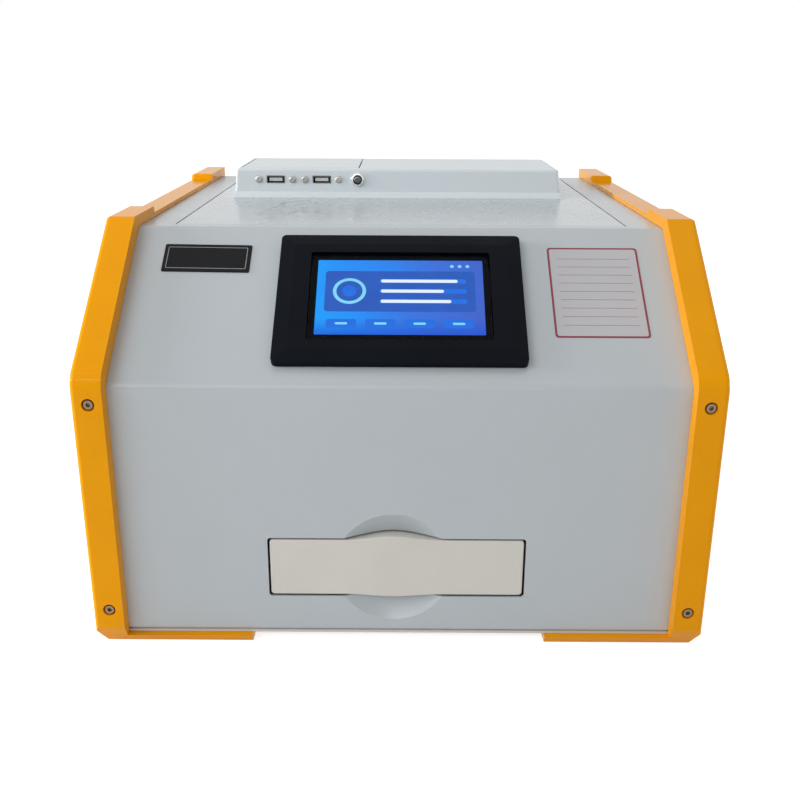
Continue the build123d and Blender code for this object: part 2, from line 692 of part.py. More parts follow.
def finger_cup():
    """Dished cup round the drawer front, cut by the drawer opening into two crescents."""
    deep = CUP_SPHERE_RADIUS
    cup = cup_sphere(deep + SHEET) - cup_sphere(deep)
    cup &= block(-2 * deep, 2 * deep, PANEL_Y + SHEET, PANEL_Y + 2 * deep, 0, 4 * deep)
    cup -= extrude(FRONT_PLANE * drawer_outline(DRAWER_GAP), -2 * deep)
    return group([cup])


def top_cover():
    """Drop-in cover of the deck, cut out for the dock and for wires."""
    half = COVER_HALF_WIDTH - COVER_GAP
    front, back = COVER_FRONT + COVER_FRONT_GAP, COVER_BACK - COVER_GAP
    cover = block(-half, half, front, back, DECK_Z - SHEET, DECK_Z)
    dock = dock_half_width() + CHEEK_FIT
    deep = dock_half_depth() + CHEEK_FIT
    cover -= block(DOCK_X - dock, DOCK_X + dock, DOCK_Y - deep, DOCK_Y + deep, DECK_Z - SHEET - 1, DECK_Z + 1)
    hole = rod(0, HOOD_Y + WIRE_HOLE_BEHIND, DECK_Z - SHEET - 1, WIRE_HOLE_RADIUS, SHEET + 2, (0, 0, 1))
    cover -= hole
    return cover


def rear_panel():
    """Rear sheet with the fan opening, inlet opening, vents and screw holes."""
    panel = block(-BODY_HALF, BODY_HALF, REAR_Y - SHEET, REAR_Y, PAN_TOP, DECK_Z - SHEET)
    through = SHEET + 2
    start = REAR_Y - SHEET - 1
    panel -= rod(FAN_X, start, FAN_HEIGHT, FAN_BORE_RADIUS, through, (0, 1, 0))
    for x, z in fan_holes():
        panel -= rod(x, start, z, SCREW_RADIUS + CHEEK_FIT, through, (0, 1, 0))
    wide = INLET_WIDTH / 2 + CHEEK_FIT
    tall = INLET_TALL / 2 + CHEEK_FIT
    panel -= block(INLET_X - wide, INLET_X + wide, start, start + through,
                   INLET_HEIGHT - tall, INLET_HEIGHT + tall)
    for column in range(VENT_COUNT):
        x = INLET_X + (column - (VENT_COUNT - 1) / 2) * VENT_PITCH
        middle = REAR_TOP - REAR_VENT_LENGTH / 2
        at = Plane((x, start, middle), x_dir=(-1, 0, 0), z_dir=(0, 1, 0))
        panel -= extrude(at * SlotOverall(REAR_VENT_LENGTH, VENT_HEIGHT, rotation=90), through)
    for face, inward, height in SCREW_SPOTS:
        if face == BACK:
            hole = rod(SCREW_X, start, height, SCREW_HOLE_RADIUS, through, (0, 1, 0))
            panel -= hole
            panel -= across(hole)
    return panel


def dock_half_width():
    """Half the outer width of the drive dock."""
    return DOCK_SLOT_WIDTH / 2 + DOCK_WALL


def dock_half_depth():
    """Half the outer depth of the drive dock."""
    return DOCK_SLOT_GAP / 2 + DOCK_WALL


def front_block(outline, depth):
    """Outline on the front panel drawn inwards."""
    return extrude(FRONT_PLANE * outline, -depth)


def drawer_front():
    """Hollow moulded front of the drawer, with two screw bosses."""
    front = front_block(drawer_outline(0), DRAWER_DEPTH)
    face_edges = front.faces().sort_by(Axis.Y)[0].edges()
    front = fillet(face_edges, DRAWER_EDGE_RADIUS)
    w = DRAWER_WIDTH / 2 - DRAWER_WALL
    h = DRAWER_HEIGHT / 2 - DRAWER_WALL
    inner = PANEL_Y + DRAWER_WALL
    front -= block(DRAWER_SHIFT - w, DRAWER_SHIFT + w, inner, TRAY_START + 1,
                   CHAMBER_HEIGHT - h, CHAMBER_HEIGHT + h)
    for x in (-TRAY_SCREW_SPREAD, TRAY_SCREW_SPREAD):
        front += rod(x, PANEL_Y + DRAWER_WALL / 2, CHAMBER_HEIGHT, BOSS_RADIUS,
                     DRAWER_DEPTH - DRAWER_WALL / 2, (0, 1, 0))
        front -= rod(x, inner, CHAMBER_HEIGHT, SCREW_RADIUS + NUT_FIT, DRAWER_DEPTH, (0, 1, 0))
    return front


def drawer_tray():
    """Tray for one drive, with a tail that carries the stop lug, lock slot and sensor flag."""
    tray = block(-TRAY_HALF, TRAY_HALF, TRAY_START, TRAY_END, TRAY_BOTTOM, TRAY_TOP)
    floor = TRAY_BOTTOM + TRAY_FLOOR
    tray -= block(-POCKET_HALF, POCKET_HALF, POCKET_START, POCKET_END, floor, TRAY_TOP + 1)
    slot = LOCK_BOLT_RADIUS + LOCK_SLACK
    rooms = (
        (POCKET_END + TRAY_WALL, LOCK_Y - slot - LOCK_WEB),
        (LOCK_Y - slot, LOCK_Y + slot),
        (LOCK_Y + slot + LOCK_WEB, TRAY_END - LUG_LENGTH),
    )
    for y0, y1 in rooms:
        tray -= block(-POCKET_HALF, POCKET_HALF, y0, y1, floor, TRAY_TOP + 1)
    tray += block(-LUG_HALF_WIDTH, LUG_HALF_WIDTH, TRAY_END - LUG_LENGTH, TRAY_END, TRAY_TOP - 2, LUG_TOP)
    for x in (-TRAY_SCREW_SPREAD, TRAY_SCREW_SPREAD):
        tray -= rod(x, TRAY_START - 1, CHAMBER_HEIGHT, SCREW_HOLE_RADIUS, TRAY_FRONT_WALL + 2, (0, 1, 0))
    tray += block(FLAG_X, FLAG_X + FLAG, TRAY_END - 1, TRAY_END + LINER_OVERRUN + SENSOR_DEPTH / 2,
                  CHAMBER_HEIGHT - 4, CHAMBER_HEIGHT + 4)
    return tray


def drive_pad():
    """Soft sheet on the floor of the drive pocket."""
    floor = TRAY_BOTTOM + TRAY_FLOOR
    inset = 0.5
    return block(-POCKET_HALF + inset, POCKET_HALF - inset, POCKET_START + inset, POCKET_END - inset,
                 floor, floor + PAD_SHEET)


def drawer_screws():
    """Two screws from the pocket into the bosses of the drawer front."""
    screws = []
    for x in (-TRAY_SCREW_SPREAD, TRAY_SCREW_SPREAD):
        length = TRAY_FRONT_WALL + DRAWER_DEPTH * 0.6
        screw = rod(x, POCKET_START, CHAMBER_HEIGHT, SCREW_RADIUS, length, (0, -1, 0))
        screw += rod(x, POCKET_START, CHAMBER_HEIGHT, SCREW_HEAD_RADIUS, 1, (0, 1, 0))
        screws.append(screw)
    return group(screws)


def liner_section(half_width, half_height, corner):
    """Rounded section square to the drawer's travel, centred on the chamber."""
    return RectangleRounded(2 * half_width, 2 * half_height, corner)


def tube(section, y0, y1):
    """Section drawn out along Y between two places."""
    return extrude(Plane((0, y0, CHAMBER_HEIGHT), x_dir=(1, 0, 0), z_dir=(0, -1, 0)) * section, y0 - y1)


def chamber_liner():
    """Plastic tube that guides the tray, slotted on top for the stop lug and lock bolt."""
    liner = tube(liner_section(LINER_HALF_WIDTH, LINER_HALF_HEIGHT, LINER_CORNER), LINER_Y, LINER_END)
    liner -= tube(Rectangle(2 * BORE_HALF_WIDTH, 2 * BORE_HALF_HEIGHT), LINER_Y, LINER_END)
    slot = LUG_HALF_WIDTH + 1
    slot_start = TRAY_END - LUG_LENGTH - DRAWER_TRAVEL - 0.3
    over = CHAMBER_HEIGHT + 2 * LINER_HALF_HEIGHT
    return liner - block(-slot, slot, slot_start, LINER_END + 1, CHAMBER_HEIGHT, over)


def degauss_coil():
    """Winding round the liner."""
    w = LINER_HALF_WIDTH + COIL_FIT
    h = LINER_HALF_HEIGHT + COIL_FIT
    coil = tube(liner_section(w + COIL_BUILD, h + COIL_BUILD, COIL_CORNER), COIL_Y, COIL_END)
    coil -= tube(liner_section(w, h, LINER_CORNER), COIL_Y, COIL_END)
    return coil


def standing_plate(half_width, y0, thickness, top):
    """Plate that stands on the pan and holds the liner."""
    plate = block(-half_width, half_width, y0, y0 + thickness, PAN_TOP, top)
    hole = liner_section(LINER_HALF_WIDTH + COIL_FIT, LINER_HALF_HEIGHT + COIL_FIT, LINER_CORNER)
    return plate - tube(hole, y0, y0 + thickness)


def liner_plates():
    """Insulating plates: one at each end of the winding and one at the liner's rear end."""
    plates = [standing_plate(END_PLATE_HALF, y, END_PLATE, END_PLATE_TOP) for y in (END_PLATE_Y, COIL_END)]
    plates.append(standing_plate(LINER_HALF_WIDTH + 8, LINER_END - 14, END_PLATE, BRACKET_TOP))
    return group(plates)


def board_shelf():
    """Insulating shelf across the coil's end plates."""
    return block(-END_PLATE_HALF, END_PLATE_HALF, END_PLATE_Y, COIL_END + END_PLATE,
                 END_PLATE_TOP, END_PLATE_TOP + SHELF)


def board_corners(half_x, half_y):
    """Four spots for posts, in from a board's corners."""
    return [(x, y) for x in (POST_FROM_EDGE - half_x, half_x - POST_FROM_EDGE)
            for y in (POST_FROM_EDGE - half_y, half_y - POST_FROM_EDGE)]


def control_middle():
    """Middle of the control board, along Y."""
    return (COIL_Y + COIL_END) / 2


def board_posts():
    """Posts between the shelf and the control board, and between the deck and the data board."""
    z = END_PLATE_TOP + SHELF
    spots = board_corners(BOARD_HALF_WIDTH, BOARD_DEPTH / 2)
    posts = [rod(x, y + control_middle(), z, POST_RADIUS, BOARD_POST, (0, 0, 1)) for x, y in spots]
    x0, y0 = data_board_middle()
    spots = board_corners(data_board_width() / 2, DATA_BOARD_DEPTH / 2)
    posts += [rod(x0 + x, y0 + y, DECK_Z - SHEET, POST_RADIUS, BOARD_POST, (0, 0, -1)) for x, y in spots]
    return group(posts)


def control_board():
    """Board that charges and fires the coil."""
    z = END_PLATE_TOP + SHELF + BOARD_POST
    y = control_middle()
    return block(-BOARD_HALF_WIDTH, BOARD_HALF_WIDTH, y - BOARD_DEPTH / 2, y + BOARD_DEPTH / 2, z, z + BOARD)


def board_parts():
    """Relays, small capacitors and terminal strips on the control board."""
    z = END_PLATE_TOP + SHELF + BOARD_POST + BOARD
    y = control_middle()
    parts = []
    for index in range(3):
        x = index * RELAY_PITCH - RELAY_START
        y0 = y + RELAY_BEHIND
        parts.append(block(x, x + RELAY_WIDTH, y0, y0 + RELAY_LENGTH, z, z + RELAY_HEIGHT))
        x = index * SMALL_CAP_PITCH - SMALL_CAP_START
        parts.append(rod(x, y - SMALL_CAP_AHEAD, z, SMALL_CAP_RADIUS, SMALL_CAP_HEIGHT, (0, 0, 1)))
    y0 = y - DRIVER_AHEAD
    parts.append(block(DRIVER_X, DRIVER_X + DRIVER_WIDTH, y0, y0 + DRIVER_LENGTH, z, z + DRIVER_HEIGHT))
    y0 = y - STRIP_AHEAD
    for x in (STRIP_FROM_EDGE - BOARD_HALF_WIDTH, BOARD_HALF_WIDTH - STRIP_FROM_EDGE - STRIP_LENGTH):
        parts.append(block(x, x + STRIP_LENGTH, y0, y0 + STRIP_WIDTH, z, z + STRIP_HEIGHT))
    return group(parts)


def lock_bracket():
    """Bridge over the liner that carries the lock solenoid."""
    inner = BRACKET_INNER
    outer = inner + LOCK_PLATE
    y0 = LOCK_Y - LOCK_BRACKET_HALF
    y1 = LOCK_Y + LOCK_BRACKET_HALF
    bracket = block(-outer, outer, y0, y1, PAN_TOP, BRACKET_TOP + LOCK_PLATE)
    bracket -= block(-inner, inner, y0 - 1, y1 + 1, PAN_TOP - 1, BRACKET_TOP)
    for x0, x1 in ((-BRACKET_REACH, -inner), (inner, BRACKET_REACH)):
        bracket += block(x0, x1, y0, y1, PAN_TOP, PAN_TOP + LOCK_PLATE)
    bracket -= rod(0, LOCK_Y, BRACKET_TOP - 1, LOCK_BOLT_RADIUS + BUTTON_FIT, LOCK_PLATE + 2, (0, 0, 1))
    return bracket


def lock_solenoid():
    """Solenoid body with the bore that guides the bolt."""
    z = BRACKET_TOP + LOCK_PLATE
    w, d = SOLENOID_WIDTH / 2, SOLENOID_DEPTH / 2
    body = block(-w, w, LOCK_Y - d, LOCK_Y + d, z, z + SOLENOID_HEIGHT)
    body -= rod(0, LOCK_Y, z - 1, LOCK_BOLT_RADIUS + LOCK_FIT, SOLENOID_HEIGHT + 2, (0, 0, 1))
    return body


def lock_bolt():
    """Bolt that drops into the tray's tail; its head stops it on the solenoid."""
    head = BRACKET_TOP + LOCK_PLATE + SOLENOID_HEIGHT + LOCK_TRAVEL + LOCK_HEAD_GAP
    bolt = rod(0, LOCK_Y, LOCK_REST, LOCK_BOLT_RADIUS, head - LOCK_REST, (0, 0, 1))
    return bolt + rod(0, LOCK_Y, head, LOCK_BOLT_RADIUS + LOCK_HEAD_RIM, LOCK_HEAD_HEIGHT, (0, 0, 1))


def drawer_sensor():
    """Forked light sensor on a post, round the tray's flag."""
    middle = FLAG_X + FLAG / 2
    half = SENSOR_WIDTH / 2
    top = CHAMBER_HEIGHT + SENSOR_ABOVE
    y0 = LINER_END + SENSOR_GAP
    y1 = y0 + SENSOR_DEPTH
    post = block(middle - half, middle + half, y0, y1, PAN_TOP, top)
    return post - block(middle - FLAG, middle + FLAG, y0 - 1, y1 + 1, CHAMBER_HEIGHT - SENSOR_BELOW, top + 1)


def cap_spots():
    """Middles of the storage capacitors."""
    return [(side * CAP_X, y) for side in (-1, 1) for y in CAP_YS]


def storage_capacitors():
    """Cans that stand beside the coil, as many on each side."""
    cans = [rod(x, y, PAN_TOP, CAP_RADIUS, CAP_HEIGHT, (0, 0, 1)) for x, y in cap_spots()]
    return group([fillet(can.edges().filter_by(GeomType.CIRCLE), CAP_EDGE_RADIUS) for can in cans])


def terminal_spots():
    """Middles of the capacitor terminals."""
    return [(x + side * TERMINAL_SPREAD, y) for x, y in cap_spots() for side in (-1, 1)]


def capacitor_terminals():
    """Screw terminals on the cans."""
    spots = terminal_spots()
    return group([rod(x, y, CAP_TOP, TERMINAL_RADIUS, TERMINAL_HEIGHT, (0, 0, 1)) for x, y in spots])


def bus_bars():
    """Copper bars that join the cans on each side."""
    z = CAP_TOP + TERMINAL_HEIGHT
    y0, y1 = CAP_YS[0] - BUS_WIDTH / 2, CAP_YS[-1] + BUS_WIDTH / 2
    bars = []
    for side in (-1, 1):
        for offset in (-TERMINAL_SPREAD, TERMINAL_SPREAD):
            x = side * CAP_X + offset
            bars.append(block(x - BUS_WIDTH / 2, x + BUS_WIDTH / 2, y0, y1, z, z + BUS_THICKNESS))
    return group(bars)


def capacitor_clamps():
    """Ring clamps that hold the cans on the pan."""
    clamps = []
    for x, y in cap_spots():
        bore = CAP_RADIUS + CHEEK_FIT
        ring = rod(x, y, PAN_TOP, bore + CAP_CLAMP_WALL, CAP_CLAMP_HEIGHT, (0, 0, 1))
        for side in (-1, 1):
            rim = bore + CAP_CLAMP_WALL
            y0, y1 = sorted((y + side * (rim - CAP_LUG_ROOT), y + side * (rim + CAP_LUG_REACH)))
            half = CAP_LUG_WIDTH / 2
            ring += block(x - half, x + half, y0, y1, PAN_TOP, PAN_TOP + CAP_LUG_HEIGHT)
        ring -= rod(x, y, PAN_TOP - 1, bore, CAP_CLAMP_HEIGHT + 2, (0, 0, 1))
        clamps.append(ring)
    return group(clamps)


def heat_sink():
    """Finned heat sink that stands on its fins."""
    x0 = SIDE_PARTS_X - SINK_WIDTH / 2
    y0 = SIDE_PARTS_Y - SINK_DEPTH / 2
    top = PAN_TOP + SINK_HEIGHT
    sink = block(x0, x0 + SINK_WIDTH, y0, y0 + SINK_DEPTH, top - SINK_BASE, top)
    pitch = (SINK_WIDTH - SINK_FIN) / (SINK_FINS - 1)
    for index in range(SINK_FINS):
        x = x0 + index * pitch
        sink += block(x, x + SINK_FIN, y0, y0 + SINK_DEPTH, PAN_TOP, top - SINK_BASE / 2)
    return sink


def thyristor_module():
    """Discharge switch on the heat sink, with three terminals."""
    z = PAN_TOP + SINK_HEIGHT
    x, y = SIDE_PARTS_X, SIDE_PARTS_Y
    w, d = SINK_WIDTH / 2 - MODULE_MARGIN, MODULE_DEPTH / 2
    module = block(x - w, x + w, y - d, y + d, z, z + MODULE_HEIGHT)
    for index in (-1, 0, 1):
        stud_x = x + index * MODULE_STUD_PITCH
        module += rod(stud_x, y, z + MODULE_HEIGHT, MODULE_STUD, MODULE_STUD, (0, 0, 1))
    return module


def transformer_core():
    """Laminated core of the charging transformer."""
    x, y = -SIDE_PARTS_X, SIDE_PARTS_Y
    core = block(x - CORE_WIDTH / 2, x + CORE_WIDTH / 2, y - CORE_DEPTH / 2, y + CORE_DEPTH / 2,
                 PAN_TOP, PAN_TOP + CORE_HEIGHT)
    for side in (-1, 1):
        middle = x + side * CORE_LEG * 1.5
        core -= block(middle - CORE_LEG / 2, middle + CORE_LEG / 2, y - CORE_DEPTH, y + CORE_DEPTH,
                      PAN_TOP + CORE_LEG, PAN_TOP + CORE_HEIGHT - CORE_LEG)
    return core


def transformer_winding():
    """Winding round the middle leg of the core."""
    x, y = -SIDE_PARTS_X, SIDE_PARTS_Y
    fit = WINDING_FIT
    z0, z1 = PAN_TOP + CORE_LEG + fit, PAN_TOP + CORE_HEIGHT - CORE_LEG - fit
    wide = 2 * CORE_LEG - fit
    deep = CORE_DEPTH / 2 + WINDING_OVER
    winding = block(x - wide, x + wide, y - deep, y + deep, z0, z1)
    winding = fillet(winding.edges().filter_by(Axis.Z), WINDING_CORNER)
    leg_x, leg_y = CORE_LEG + fit, CORE_DEPTH / 2 + fit
    return winding - block(x - leg_x, x + leg_x, y - leg_y, y + leg_y, z0 - 1, z1 + 1)


def bleed_resistor():
    """Ribbed resistor that empties the capacitors."""
    y = REAR_Y - RESISTOR_FROM_BACK
    w, d = RESISTOR_LENGTH / 2, RESISTOR_WIDTH / 2
    top = PAN_TOP + RESISTOR_HEIGHT
    body = block(-w - RESISTOR_FLANGE, w + RESISTOR_FLANGE, y - d, y + d, PAN_TOP, PAN_TOP + RESISTOR_BASE)
    body += block(-w, w, y - d, y + d, PAN_TOP, top)
    for index in range(RESISTOR_RIBS):
        y0 = y + (index - RESISTOR_RIBS / 2) * RESISTOR_RIB_PITCH + RESISTOR_RIB_GAP / 2
        body -= block(-w - 1, w + 1, y0, y0 + RESISTOR_RIB_GAP, top - RESISTOR_RIB_DEPTH, top + 1)
    return body


def touch_piece(width, height, corner, z0, z1):
    """Rounded plate parallel to the slope, between two heights over it."""
    return extrude(TOUCH_PLANE * Pos(0, 0, z0) * RectangleRounded(width, height, corner), z1 - z0)


def touch_gasket():
    """Seal between the bezel and the slope."""
    ring = touch_piece(PANEL_WIDTH - 2, PANEL_HEIGHT - 2, PANEL_CORNER - 1, 0, GASKET)
    return ring - touch_piece(CASE_WIDTH + 2 * CASE_FIT, CASE_HEIGHT + 2 * CASE_FIT, 0.5, -1, GASKET + 1)


def touch_bezel():
    """Bezel with a bevelled border round the window."""
    bezel = touch_piece(PANEL_WIDTH, PANEL_HEIGHT, PANEL_CORNER, GASKET, PANEL_EDGE)
    low = TOUCH_PLANE * Pos(0, 0, PANEL_EDGE) * RectangleRounded(PANEL_WIDTH, PANEL_HEIGHT, PANEL_CORNER)
    flat = RectangleRounded(PANEL_WIDTH - 2 * PANEL_BEVEL, PANEL_HEIGHT - 2 * PANEL_BEVEL, PANEL_CORNER / 2)
    bezel += loft([low, TOUCH_PLANE * Pos(0, 0, PANEL_PROUD) * flat])
    return bezel - touch_piece(PANEL_WINDOW_WIDTH, PANEL_WINDOW_HEIGHT, 1.5, 0, PANEL_PROUD + 1)


def touch_glass():
    """Touch glass in the window."""
    top = PANEL_PROUD - GLASS_SUNK
    fit = 2 * CHEEK_FIT
    return touch_piece(PANEL_WINDOW_WIDTH - fit, PANEL_WINDOW_HEIGHT - fit, 1.4, top - GLASS, top)


def touch_display():
    """Display module behind the glass."""
    top = PANEL_PROUD - GLASS_SUNK - GLASS - GLASS_GAP
    return touch_piece(PANEL_WINDOW_WIDTH - 2, PANEL_WINDOW_HEIGHT - 2, 1, top - DISPLAY, top)


def touch_case():
    """Hollow rear case that goes through the slope."""
    top = PANEL_PROUD - GLASS_SUNK - GLASS - GLASS_GAP - DISPLAY
    case = touch_piece(CASE_WIDTH, CASE_HEIGHT, 2, -CASE_DEPTH, min(top, GASKET))
    inside = 2 * CASE_WALL
    floor = CASE_WALL - CASE_DEPTH
    return case - touch_piece(CASE_WIDTH - inside, CASE_HEIGHT - inside, 1, floor, -CASE_WALL)


def touch_clamps():
    """Four clamps that press the case's flange against the sheet."""
    clamps = []
    z = -SHEET - CLAMP_HEIGHT / 2
    for x in (-CASE_WIDTH / 4, CASE_WIDTH / 4):
        for side in (-1, 1):
            y = side * (CASE_HEIGHT / 2 + CLAMP_SIZE / 2)
            clamps.append(TOUCH_PLANE * Pos(x, y, z) * Box(CLAMP_SIZE, CLAMP_SIZE, CLAMP_HEIGHT))
    return group(clamps)


def hood_section(inset):
    """Front view of the hood, with leaning sides."""
    foot = HOOD_HALF_WIDTH - inset
    head = foot - HOOD_LEAN
    top = HOOD_TOP - inset
    return make_face(Polyline((-foot, DECK_Z), (foot, DECK_Z), (head, top), (-head, top), close=True))


def hood_block(inset):
    """Hood outline drawn out from front to back."""
    start = Plane((HOOD_SHIFT, HOOD_Y + inset, 0), x_dir=(1, 0, 0), z_dir=(0, -1, 0))
    return extrude(start * hood_section(inset), -(HOOD_LENGTH - 2 * inset))


def knuckle(x0, x1):
    """Part of the lid's hinge barrel."""
    return rod(x0, HINGE_Y, HINGE_Z, KNUCKLE_RADIUS, x1 - x0, (1, 0, 0))


def hinge_bore():
    """Bore through all the hinge's knuckles."""
    radius = HINGE_PIN_RADIUS + HINGE_FIT
    return rod(LID_LEFT - 1, HINGE_Y, HINGE_Z, radius, LID_RIGHT - LID_LEFT + 2, (1, 0, 0))


def knuckle_spans():
    """Five spans along the hinge: the hood has the odd ones and the lid the even ones."""
    step = (LID_RIGHT - LID_LEFT - 4) / 5
    edges = [LID_LEFT + 2 + index * step for index in range(6)]
    spans = list(zip(edges[:-1], edges[1:]))
    return spans[0::2], spans[1::2]


def hood():
    """Sheet hood with a front skirt, port holes, button hole and a lidded opening."""
    body = hood_block(0)
    upright = [edge for edge in body.edges() if edge.center().Z > DECK_Z + 1]
    body = fillet(upright, HOOD_EDGE_RADIUS)
    body += side_prism([
        (HOOD_Y - SKIRT_REACH, DECK_Z),
        (HOOD_Y - SKIRT_REACH, DECK_Z + SKIRT_LIP),
        (HOOD_Y, DECK_Z + SKIRT_HEIGHT),
        (HOOD_Y + SHEET, DECK_Z + SKIRT_HEIGHT),
        (HOOD_Y + SHEET, DECK_Z),
    ], HOOD_LEFT, HOOD_SHIFT + HOOD_HALF_WIDTH)
    body -= hood_block(SHEET) & block(-WIDTH, WIDTH, FRONT, BACK, DECK_Z - 1, HOOD_TOP - SHEET)
    body -= block(LID_LEFT, LID_RIGHT, LID_Y, HOOD_END - LID_BACK_STRIP, HOOD_TOP - SHEET - 1, HOOD_TOP + 1)
    for x in PORT_XS:
        room = CHEEK_FIT
        wide, tall = PORT_WIDTH / 2 + room, PORT_HEIGHT / 2 + room
        body -= block(x - wide, x + wide, HOOD_Y - 1, HOOD_Y + SHEET + 1, PORT_Z - tall, PORT_Z + tall)
        for side in (-1, 1):
            spot = x + side * PORT_SCREW_SPREAD
            body -= rod(spot, HOOD_Y - 1, PORT_Z, PORT_SCREW_RADIUS + room, SHEET + 2, (0, 1, 0))
    body -= rod(BUTTON_X, HOOD_Y - 1, PORT_Z, BUSHING_BARREL + CHEEK_FIT, SHEET + 2, (0, 1, 0))
    for x0, x1 in knuckle_spans()[0]:
        gap = KNUCKLE_GAP / 2
        body += knuckle(x0 + gap, x1 - gap)
        body += block(x0 + gap, x1 - gap, HINGE_Y, HOOD_END - 1, HOOD_TOP - SHEET, HOOD_TOP)
    return body - hinge_bore()


def dock_lid():
    """Flush lid of the dock with its hinge knuckles."""
    back = HINGE_Y - KNUCKLE_RADIUS - LID_HINGE_ROOM
    lid = block(LID_LEFT + LID_GAP, LID_RIGHT - LID_GAP, LID_Y + LID_GAP, back, HOOD_TOP - SHEET, HOOD_TOP)
    for x0, x1 in knuckle_spans()[1]:
        gap = KNUCKLE_GAP / 2
        lid += knuckle(x0 + gap, x1 - gap)
        lid += block(x0 + gap, x1 - gap, HINGE_Y - KNUCKLE_RADIUS - 1, HINGE_Y, HOOD_TOP - SHEET, HOOD_TOP)
    return lid - hinge_bore()


def hinge_pin():
    """Pin through the hinge."""
    return rod(LID_LEFT + 2, HINGE_Y, HINGE_Z, HINGE_PIN_RADIUS, LID_RIGHT - LID_LEFT - 4, (1, 0, 0))


def data_ports():
    """Two sockets whose metal mouths stand in the hood's front."""
    ports = []
    for x in PORT_XS:
        wide, tall = PORT_WIDTH / 2, PORT_HEIGHT / 2
        inner = HOOD_Y + SHEET
        port = block(x - wide, x + wide, HOOD_Y - 0.4, inner + PORT_DEPTH, PORT_Z - tall, PORT_Z + tall)
        flange = PORT_SCREW_SPREAD + 3
        port += block(x - flange, x + flange, inner, inner + 1, PORT_Z - tall - 0.8, PORT_Z + tall + 0.8)
        shell = PORT_SHELL
        port -= block(x - wide + shell, x + wide - shell, HOOD_Y - 1, inner + PORT_DEPTH - 2,
                      PORT_Z - tall + shell, PORT_Z + tall - shell)
        for side in (-1, 1):
            spot = x + side * PORT_SCREW_SPREAD
            port -= rod(spot, inner - 1, PORT_Z, PORT_SCREW_RADIUS + NUT_FIT, 3, (0, 1, 0))
        ports.append(port)
    return group(ports)


def port_tongues():
    """Contact tongues inside the two sockets."""
    tongues = []
    for x in PORT_XS:
        back = HOOD_Y + SHEET + PORT_DEPTH - 2
        w, h = TONGUE_WIDTH / 2, TONGUE_HEIGHT / 2
        tongues.append(block(x - w, x + w, HOOD_Y + TONGUE_SUNK, back, PORT_Z - h, PORT_Z + h))
    return group(tongues)


def port_screws():
    """Pan-head screws beside the sockets."""
    screws = []
    for x in PORT_XS:
        for side in (-1, 1):
            spot = x + side * PORT_SCREW_SPREAD
            screw = rod(spot, HOOD_Y, PORT_Z, PORT_SCREW_HEAD, 1.4, (0, -1, 0))
            screw = fillet(screw.edges().sort_by(Axis.Y)[:1], 0.9)
            screw += rod(spot, HOOD_Y, PORT_Z, PORT_SCREW_RADIUS, SHEET + 4, (0, 1, 0))
            for turn in (0, 90):
                screw -= Pos(spot, HOOD_Y - 1.4, PORT_Z) * Rot(0, turn, 0) * Box(2.6, 1.2, 0.6)
            screws.append(screw)
    return group(screws)


def button_bushing():
    """Chrome bushing in the hood with the button's bore."""
    bushing = rod(BUTTON_X, HOOD_Y, PORT_Z, BUSHING_RADIUS, BUSHING_HEAD, (0, -1, 0))
    bushing = fillet(bushing.edges().sort_by(Axis.Y)[:1], BUSHING_HEAD * 0.45)
    bushing += rod(BUTTON_X, HOOD_Y, PORT_Z, BUSHING_BARREL, BUSHING_LENGTH, (0, 1, 0))
    bore = BUTTON_RADIUS + BUTTON_FIT
    deep = BUSHING_HEAD + BUSHING_LENGTH - BUSHING_FLOOR
    return bushing - rod(BUTTON_X, HOOD_Y - BUSHING_HEAD, PORT_Z, bore, deep, (0, 1, 0))


def button_nut():
    """Nut that holds the bushing from behind."""
    y = HOOD_Y + SHEET
    outline = RegularPolygon(BUTTON_NUT_RADIUS, 6, rotation=30)
    nut = extrude(Plane((BUTTON_X, y, PORT_Z), z_dir=(0, 1, 0)) * outline, BUTTON_NUT_HEIGHT)
    return nut - rod(BUTTON_X, y - 1, PORT_Z, BUSHING_BARREL + NUT_FIT, BUTTON_NUT_HEIGHT + 2, (0, 1, 0))


def button_cap():
    """Domed push button."""
    cap = rod(BUTTON_X, HOOD_Y - BUTTON_PROUD, PORT_Z, BUTTON_RADIUS, BUTTON_LENGTH, (0, 1, 0))
    return fillet(cap.edges().sort_by(Axis.Y)[:1], BUTTON_DOME)


def drive_dock():
    """Slot for a small drive, hung in the deck by its flange."""
    w, d = dock_half_width(), dock_half_depth()
    top = HOOD_TOP - SHEET - 2.5
    bottom = DECK_Z - DOCK_BELOW_DECK
    rim = DOCK_FLANGE_RIM
    dock = block(DOCK_X - w, DOCK_X + w, DOCK_Y - d, DOCK_Y + d, bottom, top)
    over = DECK_Z + DOCK_FLANGE
    dock += block(DOCK_X - w - 1, DOCK_X + w + 1, DOCK_Y - d - rim, DOCK_Y + d + rim, DECK_Z, over)
    return dock - block(DOCK_X - DOCK_SLOT_WIDTH / 2, DOCK_X + DOCK_SLOT_WIDTH / 2,
                        DOCK_Y - DOCK_SLOT_GAP / 2, DOCK_Y + DOCK_SLOT_GAP / 2, bottom + DOCK_WALL, top + 1)


def dock_contacts():
    """Contact bar on the floor of the dock."""
    floor = DECK_Z - DOCK_BELOW_DECK + DOCK_WALL
    return block(DOCK_X - 30, DOCK_X + 12, DOCK_Y - 2, DOCK_Y + 2, floor, floor + 6)


def data_board_span():
    """Left and right ends of the data board, between the dock and the hood's right side."""
    left = DOCK_X + dock_half_width() + DATA_BOARD_GAP
    return left, HOOD_SHIFT + HOOD_HALF_WIDTH - DATA_BOARD_GAP


def data_board_width():
    """Width of the data board."""
    left, right = data_board_span()
    return right - left


def data_board_middle():
    """Middle of the data board."""
    return (sum(data_board_span()) / 2, HOOD_Y + HOOD_LENGTH / 2)


